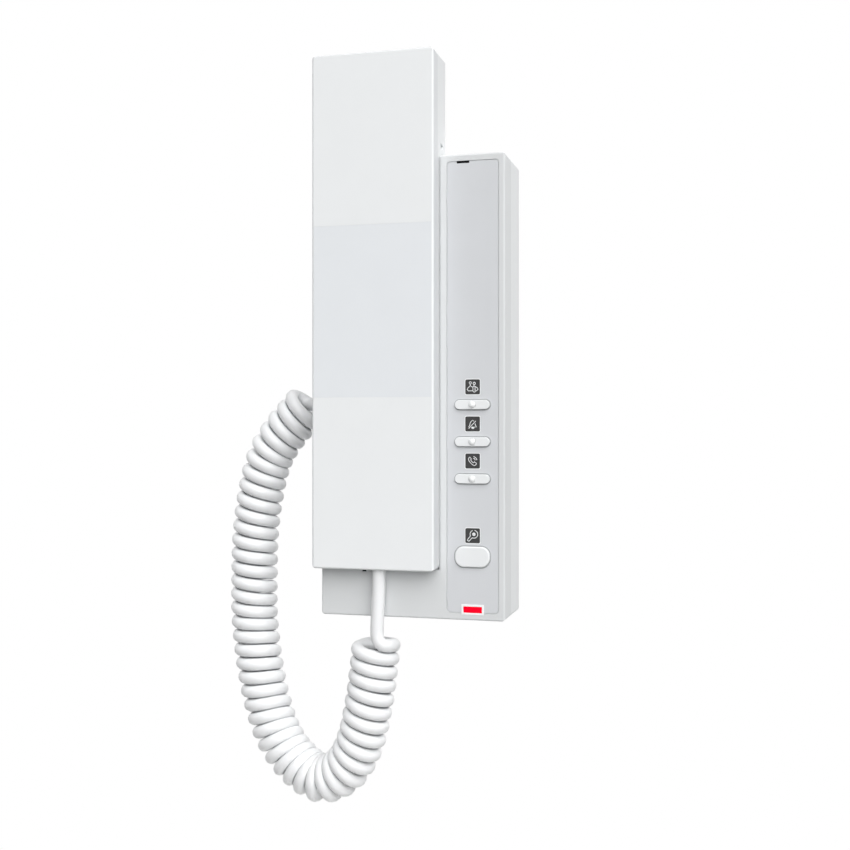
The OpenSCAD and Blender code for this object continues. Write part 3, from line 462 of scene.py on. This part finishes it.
# Moulding compound of chips, switches and loudspeaker frames: black, matt, slightly grainy
black_compound = moulded_plastic("black_moulding_compound", "#2d2e30", "#232425", rough=0.55, grain_mm=0.2,
                                 depth_mm=0.01, cloud_mm=3)
dress(black_compound, "board_parts", "key_switches", "ringer_speaker", "earpiece_grille")
# Polyamide of the screw terminals: mid green, semi-matt
terminal_nylon = moulded_plastic("green_polyamide", "#3f8a60", "#357853", rough=0.42, grain_mm=0.3,
                                 depth_mm=0.006, cloud_mm=4)
dress(terminal_nylon, "terminal_block")
# Natural nylon of the plugs and sockets: milky white
white_nylon = moulded_plastic("natural_nylon", "#efeee8", "#e4e3dc", rough=0.4, grain_mm=0.3, depth_mm=0.005,
                              cloud_mm=4)
dress(white_nylon, "ribbon_connectors", "cord_socket")
# Flat cable of grey PVC: uneven in tone and relief, at about the spacing of its conductors
ribbon_pvc = moulded_plastic("grey_flat_cable_pvc", "#c9c9c5", "#b2b2ae", rough=0.45, grain_mm=0.6,
                             depth_mm=0.03, cloud_mm=1.3)
dress(ribbon_pvc, "ribbon_cable")
# Glass of the reed switch: greenish, sleek, with faint seeds
seed_mm = 1.5
reed_glass, tree, where = blank_material("green_tinted_glass")
seeds = node(tree, "ShaderNodeTexNoise", {"Vector": where, "Scale": 1 / (seed_mm * MM)})
tone = node(tree, "ShaderNodeMixRGB", {"Fac": seeds.outputs["Fac"], "Color1": linear("#a9c2b0"),
                                       "Color2": linear("#bcd0c2")})
skin = node(tree, "ShaderNodeBsdfPrincipled", {"Base Color": tone.outputs[0], "Roughness": 0.06, "IOR": 1.51,
                                               "Transmission Weight": 0.7})
node(tree, "ShaderNodeOutputMaterial", {"Surface": skin.outputs[0]})
dress(reed_glass, "reed_switch")

# Ringer and cradle pads: the loudspeaker lies on a foam rubber gasket above the slots in the bottom wall, and
# four rubber pads glued in the cradle carry the handset.
# Nitrile rubber: dark grey, dull, faintly speckled with filler
rubber = moulded_plastic("grey_nitrile_rubber", "#76787b", "#66686b", rough=0.78, grain_mm=0.25, depth_mm=0.02,
                         cloud_mm=2)
dress(rubber, "ringer_gasket", "cradle_pads", "earpiece_gasket", "microphone_boot")

# Front cover: one ABS moulding, with the cradle on the left and the raised column on the right. Screws from the
# wall side hold it to the rear housing.
# The cover's ABS is a shade greyer than the housing's; the housing's lighter tone is painted light on the base's
# sides
base_abs = moulded_plastic("moulded_abs_offwhite", "#d8dadb", "#d4d6d7", rough=0.46, grain_mm=0.35,
                           depth_mm=0.006)
fit(moulding("front_cover", "front_cover_moulding", break_mm=0.15), base_abs, "base", "shell_abs",
    "front_cover")

# Cradle lip: a soft strip in the tint of the base, moulded along the column's wall and the ledge's upper edge,
# just under the cover's face, so that the handset lies in the cradle without rattling.
# A tongue of it sits in the ledge's small notch.
lip_air, lip_depth, lip_round = 0.04, 2.6, 0.08
lip_lap, lip_top_gap, lip_end_gap = 0.1, 0.6, 0.15
wall_gap, ledge_gap = 0.8, 0.6
wall_sink, ledge_sink = 0.75, 0.12
notch_x, notch_w, notch_h = -19.75, 1.7, 1.6
notch_open_h = 0.95


def strips(name, corners, round_mm):
    """Object of straight strips with rounded edges, each given in mm by its lowest and its highest corner."""
    bm = bmesh.new()
    for low, high in corners:
        for v in bmesh.ops.create_cube(bm, size=1)["verts"]:
            v.co = [((a + b) / 2 + c * (b - a)) * MM for a, b, c in zip(low, high, v.co)]
    bmesh.ops.bevel(bm, geom=bm.edges[:], offset=round_mm * MM, segments=2, profile=0.5, affect="EDGES")
    mesh = bpy.data.meshes.new(name)
    bm.to_mesh(mesh)
    bm.free()
    piece = bpy.data.objects.new(name, mesh)
    scene.collection.objects.link(piece)
    return piece


handset_low, handset_high = (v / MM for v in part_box("handset_front_shell"))
cover_low, cover_high = (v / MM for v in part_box("front_cover"))
wall_x = handset_high.x + wall_gap
ledge_z = handset_low.z - ledge_gap
lip = strips("cradle_lip", (
    ((handset_high.x + lip_air, cover_low.y + wall_sink, ledge_z),
     (wall_x + lip_lap, cover_low.y + wall_sink + lip_depth, cover_high.z - lip_top_gap)),
    ((cover_low.x + lip_end_gap, cover_low.y + ledge_sink, ledge_z - lip_lap),
     (wall_x + lip_lap, cover_low.y + ledge_sink + lip_depth, handset_low.z - lip_air)),
    ((notch_x - notch_w / 2, cover_low.y + ledge_sink, ledge_z - notch_h),
     (notch_x + notch_w / 2, cover_low.y + lip_depth, ledge_z - notch_open_h))), lip_round)
# Thermoplastic rubber in the tint of the base: dull and fine grained
lip_tpe = moulded_plastic("moulded_tpe_offwhite", "#d6d8d9", "#d1d3d4", rough=0.6, grain_mm=0.3, depth_mm=0.008)
fit(lip, lip_tpe, "base", "shell_abs")

# Screws: pan heads with a cross recess and a rolled thread, zinc plated, driven into bosses and posts. The
# terminals' clamping screws are short slotted rods of the same steel.
dress(zinc_sheet, "terminal_screws")
case_head = (5.4, 2.0)
case_shank_d = 3.0
board_head = (4.2, 1.4)
board_shank_d = 2.2
thread_pitch = 1.1
screw_smooth_angle = math.radians(35)


def separate_solids(cad_node):
    """Lowest and highest corner of each separate solid of a CAD node."""
    bm = bmesh.new()
    bm.from_mesh(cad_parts[cad_node].data)
    bmesh.ops.remove_doubles(bm, verts=bm.verts, dist=weld_m)
    left, found = set(bm.verts), []
    while left:
        group, todo = [], [left.pop()]
        while todo:
            v = todo.pop()
            group.append(v.co.copy())
            for e in v.link_edges:
                w = e.other_vert(v)
                if w in left:
                    left.discard(w)
                    todo.append(w)
        found.append((Vector(map(min, zip(*group))), Vector(map(max, zip(*group)))))
    bm.free()
    return found


screw_sizes = ["Head diameter", "Head height", "Shank diameter", "Shank length", "Thread pitch", "Tilt"]
screw_tree, given = geometry_tree("pan_head_screws", screw_sizes)
size = {name: given[name] for name in screw_sizes}
# Sizes that are a share of a given one. The recess's two bars end at different depths, so that no faces meet
for name, whole, part in (("head radius", "Head diameter", 0.5), ("head top radius", "Head diameter", 0.4),
                          ("recess length", "Head diameter", 0.6), ("recess width", "Head diameter", 0.14),
                          ("first bar height", "Head height", 1.0), ("second bar height", "Head height", 0.96),
                          ("core radius", "Shank diameter", 0.43), ("core middle", "Shank length", -0.5),
                          ("thread length", "Shank length", 0.9), ("thread foot", "Shank length", -0.95),
                          ("ridge radius", "Shank diameter", 0.07)):
    size[name] = node(screw_tree, "ShaderNodeMath", {0: size[whole], 1: part}, operation="MULTIPLY").outputs[0]
# Places and sizes in space, from three numbers each
for name, *three in (("first bar", size["recess length"], size["recess width"], size["Head height"]),
                     ("second bar", size["recess width"], size["recess length"], size["Head height"]),
                     ("first bar place", 0, 0, size["first bar height"]),
                     ("second bar place", 0, 0, size["second bar height"]),
                     ("core place", 0, 0, size["core middle"]), ("thread place", 0, 0, size["thread foot"]),
                     ("lean", size["Tilt"], 0, 0)):
    size[name] = node(screw_tree, "ShaderNodeCombineXYZ", dict(zip("XYZ", three))).outputs[0]

head = node(screw_tree, "GeometryNodeMeshCone", {"Vertices": 32, "Radius Bottom": size["head radius"],
                                                 "Radius Top": size["head top radius"],
                                                 "Depth": size["Head height"]})
bars = []
for name in ("first bar", "second bar"):
    bar = node(screw_tree, "GeometryNodeMeshCube", {"Size": size[name]})
    bars.append(node(screw_tree, "GeometryNodeTransform", {"Geometry": bar.outputs["Mesh"],
                                                           "Translation": size[name + " place"]}))
head = node(screw_tree, "GeometryNodeMeshBoolean", {"Mesh 1": head.outputs["Mesh"],
                                                    "Mesh 2": [bar.outputs["Geometry"] for bar in bars]},
            operation="DIFFERENCE")
core = node(screw_tree, "GeometryNodeMeshCylinder", {"Vertices": 20, "Radius": size["core radius"],
                                                     "Depth": size["Shank length"]})
core = node(screw_tree, "GeometryNodeTransform", {"Geometry": core.outputs["Mesh"],
                                                  "Translation": size["core place"]})
rounds_cut = node(screw_tree, "ShaderNodeMath", {0: size["thread length"], 1: size["Thread pitch"]},
                  operation="DIVIDE")
wound = node(screw_tree, "GeometryNodeCurveSpiral", {"Resolution": 14, "Rotations": rounds_cut.outputs[0],
                                                     "Start Radius": size["core radius"],
                                                     "End Radius": size["core radius"],
                                                     "Height": size["thread length"]})
ridge = node(screw_tree, "GeometryNodeCurvePrimitiveCircle", {"Resolution": 4, "Radius": size["ridge radius"]})
thread = node(screw_tree, "GeometryNodeCurveToMesh", {"Curve": wound.outputs["Curve"],
                                                      "Profile Curve": ridge.outputs["Curve"],
                                                      "Fill Caps": True})
thread = node(screw_tree, "GeometryNodeTransform", {"Geometry": thread.outputs["Mesh"],
                                                    "Translation": size["thread place"]})
screw = node(screw_tree, "GeometryNodeJoinGeometry", {"Geometry": [head.outputs["Mesh"],
                                                                   core.outputs["Geometry"],
                                                                   thread.outputs["Geometry"]]})
lean = node(screw_tree, "FunctionNodeEulerToRotation", {"Euler": size["lean"]})
driven = node(screw_tree, "GeometryNodeInstanceOnPoints", {"Points": given["Geometry"],
                                                           "Instance": screw.outputs["Geometry"],
                                                           "Rotation": lean.outputs[0]})
finish_tree(screw_tree, given, driven.outputs["Instances"])

# A screw's tilt in degrees says where its head is: towards the wall, the front or the floor
to_wall, to_front, to_floor = -90, 90, 180
for cad_node, body, (head_wide, head_high), thick, tilt in (
        ("cover_screws", "base", case_head, case_shank_d, to_wall),
        ("locking_screw", "base", case_head, case_shank_d, to_floor),
        ("key_board_screws", "base", board_head, board_shank_d, to_wall),
        ("main_board_screws", "base", board_head, board_shank_d, to_front),
        ("handset_screws", "handset", case_head, case_shank_d, to_wall)):
    seats = []
    for low, high in separate_solids(cad_node):
        seat = (low + high) / 2
        if tilt == to_floor:
            seat.z = low.z + head_high * MM
            length = high.z - seat.z
        else:
            seat.y = high.y - head_high * MM if tilt == to_wall else low.y + head_high * MM
            length = high.y - low.y - head_high * MM
        seats.append(seat)
    seat_mesh = bpy.data.meshes.new(cad_node + "_seats")
    seat_mesh.from_pydata(seats, [], [])
    screws = grown(bpy.data.objects.new(cad_node + "_seats", seat_mesh), screw_tree,
                   {"Head diameter": head_wide * MM, "Head height": head_high * MM,
                    "Shank diameter": thick * MM, "Shank length": length, "Thread pitch": thread_pitch * MM,
                    "Tilt": math.radians(tilt), "Material": zinc_sheet}, cad_node + "_zinc")
    screws.data.shade_smooth()
    screws.data.set_sharp_from_angle(angle=screw_smooth_angle)
    fit(screws, zinc_sheet, body, "zinc_steel", cad_node)

# Key board: a small laminate board, screwed on behind the panel and joined to the main board by the flat cable. It
# carries four tact switches, three key lamps and the status lamp.
# Acetal plungers: brick red, waxy
plunger_acetal = moulded_plastic("red_acetal", "#a8453a", "#963c32", rough=0.4, grain_mm=0.3, depth_mm=0.004,
                                 cloud_mm=3)
dress(plunger_acetal, "guard_plunger", "mute_plunger", "call_plunger", "unlock_plunger")
# Lamp resin: pale yellow epoxy
lamp_resin = moulded_plastic("pale_epoxy_resin", "#efe9c4", "#e6dfb4", rough=0.2, grain_mm=0.5, depth_mm=0.002,
                             cloud_mm=2)
dress(lamp_resin, "key_leds", "status_led")

# Control panel: a light grey ABS plate with openings for keys, tiles and window. It snaps into the column and
# leaves a narrow groove around it.
# Same ABS in light grey, with a finer and duller texture
panel_abs = moulded_plastic("moulded_abs_light_grey", "#d2d4d7", "#ced0d3", rough=0.52, grain_mm=0.3,
                            depth_mm=0.006)
fit(moulding("control_panel", "control_panel_moulding", break_mm=0.12), panel_abs, "base", "panel_abs",
    "control_panel")

# Foam stops: strips of black foam in the pry slot above the panel and in the open part of the ledge's notch. Their
# black is painted shade, for the dark inside of slot and notch.
slot_middle_x, slot_w, slot_h, slot_over_panel = 21.1, 5.1, 1.0, 0.4
foam_sink, foam_depth, foam_round = 0.15, 1.6, 0.03
panel_low, panel_high = (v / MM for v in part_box("control_panel"))
slot_top = panel_high.z + slot_over_panel
foam = strips("shade_foam_stops", (
    ((slot_middle_x - slot_w / 2, panel_low.y + foam_sink, slot_top - slot_h),
     (slot_middle_x + slot_w / 2, panel_low.y + foam_sink + foam_depth, slot_top)),
    ((notch_x - notch_w / 2, panel_low.y + foam_sink, ledge_z - notch_open_h),
     (notch_x + notch_w / 2, panel_low.y + foam_sink + foam_depth, ledge_z))), foam_round)
# Black foam, dull, with fine open cells on its cut faces; its black is painted shade
black_shade_foam = moulded_plastic("black_foam_painted_shade", "#1b1b1c", "#111112", rough=0.9, grain_mm=0.25,
                             depth_mm=0.03, cloud_mm=2, specular=0.1)
fit(foam, black_shade_foam, "base", "dark_plastic")

# Icon tiles: dark grey ABS plates set flush in the panel. Each has a pictogram and a border, screen printed in
# light grey ink.
# Dark grey ABS, matt
tile_abs = moulded_plastic("moulded_abs_dark_grey", "#484848", "#404040", rough=0.6, grain_mm=0.25,
                           depth_mm=0.006, cloud_mm=4, specular=0.1)
dress(tile_abs, "icon_tiles")
# Screen ink: light grey, dull and slightly raised
ink = moulded_plastic("light_grey_screen_ink", "#f6f7f8", "#eceeef", rough=0.6, grain_mm=0.2, depth_mm=0.004,
                      cloud_mm=1, specular=0.2)


def arc(x, z, r, start, end, steps=14):
    """Points on an arc; angles in degrees, counted from the right."""
    return [(x + r * math.cos(math.radians(start + (end - start) * i / steps)),
             z + r * math.sin(math.radians(start + (end - start) * i / steps))) for i in range(steps + 1)]


# Pictograms on a square from -1 to 1: two persons, bell with a stroke, receiver with two waves, key
pictograms = [
    [arc(-0.335, 0.58, 0.16, 0, 360), arc(0.24, 0.5, 0.17, 0, 360), [(-0.335, 0.42), (-0.335, 0.2)],
     [(0.02, -0.04), (-0.2, 0.06), (-0.335, 0.2), (-0.5, 0.02), (-0.74, -0.2), (-0.78, -0.38), (-0.62, -0.56),
      (0.04, -0.56)], [(0.22, 0.33), (0.2, 0.14)],
     [(0.05, 0.02), (0.2, 0.14), (0.46, 0.0), (0.76, -0.2), (0.78, -0.4), (0.52, -0.56), (0.24, -0.78),
      (0.05, -0.58), (0.05, 0.02)], [(0.36, 0.02), (0.36, -0.62)]],
    [[(-0.6, -0.46), (-0.44, -0.2), (-0.38, 0.1), (-0.25, 0.36), (0.0, 0.58), (0.2, 0.42)],
     [(0.38, 0.1), (0.45, -0.2), (0.6, -0.46), (-0.16, -0.46)],
     arc(0.04, -0.5, 0.2, 180, 360), [(-0.1, -0.56), (0.18, -0.56)], [(-0.6, -0.68), (0.5, 0.46)]],
    [[(-0.66, 0.3), (-0.56, 0.54), (-0.45, 0.6), (-0.18, 0.34), (-0.3, 0.16), (-0.08, -0.12), (0.14, -0.26),
      (0.3, -0.1), (0.6, -0.34), (0.56, -0.54), (0.3, -0.7), (0.0, -0.58), (-0.34, -0.26), (-0.57, 0.04),
      (-0.66, 0.3)], arc(0.1, 0.12, 0.3, 4, 86), arc(0.1, 0.12, 0.56, 4, 86)],
    [arc(0.19, 0.21, 0.55, 108, 206), arc(0.19, 0.21, 0.55, -114, 80), arc(0.19, 0.21, 0.19, 0, 360),
     arc(0.19, 0.21, 0.09, 0, 360),
     [(-0.3, -0.03), (-0.68, -0.5), (-0.74, -0.64), (-0.62, -0.76), (-0.46, -0.75), (-0.3, -0.54),
      (-0.04, -0.29)]]]
corner_at, corner_r, corner_steps = 0.87, 0.2, 4
tile_edge = [p for x, z, turn in ((1, 1, 0), (-1, 1, 90), (-1, -1, 180), (1, -1, 270))
             for p in arc(x * corner_at, z * corner_at, corner_r, turn, turn + 90, corner_steps)]
tile_edge.append((corner_at + corner_r, corner_at))
tiles = sorted(separate_solids("icon_tiles"), key=lambda t: -t[0].z)
line_w, border_w = 0.26, 0.3
picture_shares = (0.95, 0.9, 0.88, 0.97)
ink_flat = 0.25
face_y = tiles[0][0].y
for name, width, shares, drawings in (
        ("pictograms", line_w, picture_shares, pictograms),
        ("tile_borders", border_w, (1,) * len(tiles), [[tile_edge]] * len(tiles))):
    strokes = []
    for (low, high), share, drawing in zip(tiles, shares, drawings):
        middle, half = (low + high) / 2, (high.x - low.x) / 2 * share
        strokes += [[(middle.x + x * half, face_y, middle.z + z * half) for x, z in stroke]
                    for stroke in drawing]
    printed = swept(name, strokes, width * MM, ink)
    for v in printed.data.vertices:
        v.co.y = face_y + (v.co.y - face_y) * ink_flat
    fit(printed, ink, "base", "icon_dark")

# Status window: a red polycarbonate lens at the panel's lower edge, lit from behind by the status lamp. It sits
# in a white ABS frame with a thin flange on the panel's face.
tint_mm = 3
# Transparent red polycarbonate over a white lamp chamber: saturated, polished; its faint glow is painted light
# from the status lamp
red_lens, tree, where = blank_material("red_polycarbonate")
depth = node(tree, "ShaderNodeTexNoise", {"Vector": where, "Scale": 1 / (tint_mm * MM)})
tone = node(tree, "ShaderNodeMixRGB", {"Fac": depth.outputs["Fac"], "Color1": linear("#f40022"),
                                       "Color2": linear("#ff0a2e")})
skin = node(tree, "ShaderNodeBsdfPrincipled", {"Base Color": tone.outputs[0], "Roughness": 0.25, "IOR": 1.585,
                                               "Specular IOR Level": 0.06, "Emission Color": linear("#ff0020"),
                                               "Emission Strength": 0.15})
node(tree, "ShaderNodeOutputMaterial", {"Surface": skin.outputs[0]})
fit(moulding("status_window", "status_window_lens", break_mm=0.25), red_lens, "base", "window_red",
    "status_window")
frame_flange = 0.25
same_plane_m = 1e-5
window_frame = moulding("status_bezel", "status_window_frame", break_mm=0.1)
frame_low, frame_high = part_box("status_bezel")
for v in window_frame.data.vertices:
    for across in (0, 2):
        if v.co.y < frame_low.y + same_plane_m and abs(v.co[across] - frame_low[across]) < same_plane_m:
            v.co[across] -= frame_flange * MM
        elif v.co.y < frame_low.y + same_plane_m and abs(v.co[across] - frame_high[across]) < same_plane_m:
            v.co[across] += frame_flange * MM
# White ABS of the frame, polished: the brightest plastic of the set
frame_abs = moulded_plastic("moulded_abs_bright_white", "#fafbfc", "#f6f7f8", rough=0.25, grain_mm=0.3,
                            depth_mm=0.002, cloud_mm=6, coat=0.4)
fit(window_frame, frame_abs, "base", "key_abs", "status_bezel")

# Keys: moulded white ABS caps with softly rounded front edges, which slide in the panel's openings. The slim ones
# carry a clear dome lens over a lamp.
keys = ("guard", "mute", "call", "unlock")
key_edge_r, key_edge_steps = 0.6, 5
lens_clear_r = 1.7
# White ABS of the keys: brighter and smoother than the base
key_abs = moulded_plastic("moulded_abs_white_satin", "#ebedee", "#e8eaeb", rough=0.32, grain_mm=0.3,
                          depth_mm=0.003, cloud_mm=6, coat=0.6)
# Clear polycarbonate over a white light pipe: milky, polished
haze_mm, glow_mm = 0.8, 0.6
lens_pc, tree, where = blank_material("milky_polycarbonate")
haze = node(tree, "ShaderNodeTexNoise", {"Vector": where, "Scale": 1 / (haze_mm * MM)})
tone = node(tree, "ShaderNodeMixRGB", {"Fac": haze.outputs["Fac"], "Color1": linear("#f1f3f4"),
                                       "Color2": linear("#f6f8f9")})
skin = node(tree, "ShaderNodeBsdfPrincipled", {"Base Color": tone.outputs[0], "Roughness": 0.22, "IOR": 1.585,
                                               "Coat Weight": 0.3, "Coat Roughness": 0.08,
                                               "Subsurface Weight": 1.0, "Subsurface Radius": (1, 1, 1),
                                               "Subsurface Scale": glow_mm * MM})
node(tree, "ShaderNodeOutputMaterial", {"Surface": skin.outputs[0]})


def on_rim(point, low, middle):
    """Whether a point of a key is on its front face, and not at the lens's hole."""
    return (point.y < low.y + same_plane_m
            and math.hypot(point.x - middle.x, point.z - middle.z) > lens_clear_r * MM)


for key in keys:
    low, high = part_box(key + "_key")
    middle = (low + high) / 2

    def rim_edge(edge, low=low, middle=middle):
        """Edges of the front face, without those of the lens's hole."""
        return all(on_rim(v.co, low, middle) for v in edge.verts)

    cap = moulding(key + "_key", key + "_key_cap", break_mm=0, rounds=[(key_edge_r, key_edge_steps, rim_edge)])
    fit(cap, key_abs, key + "_button", "key_abs", key + "_key")
dress(lens_pc, "guard_lens", "mute_lens", "call_lens")

# Key seals: soft rings of thermoplastic rubber moulded into the panel's openings, a hair proud of its face. Their
# mid grey is painted shade, for the dark line of the gaps around the keys.
seal_d, seal_proud, seal_gap = 0.5, 0.05, 0.03
seal_y = panel_low.y + seal_d / 2 - seal_proud
# Thermoplastic rubber in a mid grey that is painted shade: dull and fine grained
gap_shade_tpe = moulded_plastic("moulded_tpe_gap_shade_grey", "#a8aaac", "#a2a4a6", rough=0.65, grain_mm=0.3,
                           depth_mm=0.008, cloud_mm=4)
for key in keys:
    low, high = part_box(key + "_key")
    middle = (low + high) / 2
    rim = {(round(v.co.x, 6), round(v.co.z, 6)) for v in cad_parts[key + "_key"].data.vertices
           if on_rim(v.co, low, middle)}
    rim = sorted(rim, key=lambda p, m=middle: math.atan2(p[1] - m.z, p[0] - m.x))
    route = []
    for i, (x, z) in enumerate(rim):
        (xa, za), (xb, zb) = rim[i - 1], rim[(i + 1) % len(rim)]
        out = Vector((zb - za, 0, xa - xb)).normalized()
        route.append(Vector((x, seal_y * MM, z)) + out * (seal_d / 2 + seal_gap) * MM)
    seal = swept(key + "_key_seal", [route], seal_d * MM, gap_shade_tpe, closed=True)
    fit(seal, gap_shade_tpe, "base", "rubber_grey")

# Handset, rear shell: moulded ABS, slim along the grip and deep at the earpiece, which hooks over the base. Screws
# from the wall side hold it to the front shell.
# ABS of the rear shell: nearly white, brighter than the base's, with the same fine texture
grip_abs = moulded_plastic("moulded_abs_soft_white", "#e3e5e6", "#e0e2e3", rough=0.42, grain_mm=0.35,
                           depth_mm=0.005)
fit(moulding("handset_rear_shell", "handset_rear_moulding", break_mm=0.12), grip_abs, "handset", "shell_abs",
    "handset_rear_shell")

# Inside the handset: receiver and microphone capsules in drawn steel cans, a steel weight, and the nickel plated
# magnet that works the reed switch in the base.
# Drawn steel: mid grey, satin
drawn_steel = plated_steel("drawn_steel_can", "#b9bcc1", "#a6a9ae", rough=0.3, spangle_mm=0.6)
dress(drawn_steel, "earpiece_receiver", "microphone_capsule", "handset_weight")
# Nickel plate: warm silver, nearly polished
nickel = plated_steel("nickel_plate", "#cfcbc3", "#bfbbb3", rough=0.18, spangle_mm=1.2)
dress(nickel, "handset_magnet")

# Handset, front shell and band: the flat face is one moulding, and its middle third is an inlaid band of a
# slightly cooler tint, flush with the face.
# ABS of the face: white and even. A greyer copy of it on the walls and on the face's rounded top and left edges is
# painted shade
handset_abs = moulded_plastic("moulded_abs_white", "#eef0f1", "#ebedee", rough=0.42, grain_mm=0.35,
                              depth_mm=0.005)
shaded_wall_abs = moulded_plastic("moulded_abs_white_painted_shade", "#dbdddf", "#d7d9db", rough=0.46, grain_mm=0.35,
                           depth_mm=0.006)
face = moulding("handset_front_shell", "handset_front_moulding", break_mm=0.1)
fit(face, handset_abs, "handset", "shell_abs", "handset_front_shell")
face.data.materials.append(shaded_wall_abs)
# Faces that turn away from the front so far, or up or to the left so far, take the greyer copy: painted shade
away_from_front, shaded_upwards, shaded_leftwards = -0.4, 0.5, -0.3
for polygon in face.data.polygons:
    facing = polygon.normal
    polygon.material_index = int(facing.y > away_from_front or facing.z > shaded_upwards or facing.x < shaded_leftwards)
# ABS of the band: a cooler white, a little glossier than the face
band_abs = moulded_plastic("moulded_abs_cool_white", "#e8ebee", "#e5e8eb", rough=0.34, grain_mm=0.35,
                           depth_mm=0.004)
fit(moulding("handset_band", "handset_band_inlay", break_mm=0.05), band_abs, "handset", "band_abs",
    "handset_band")
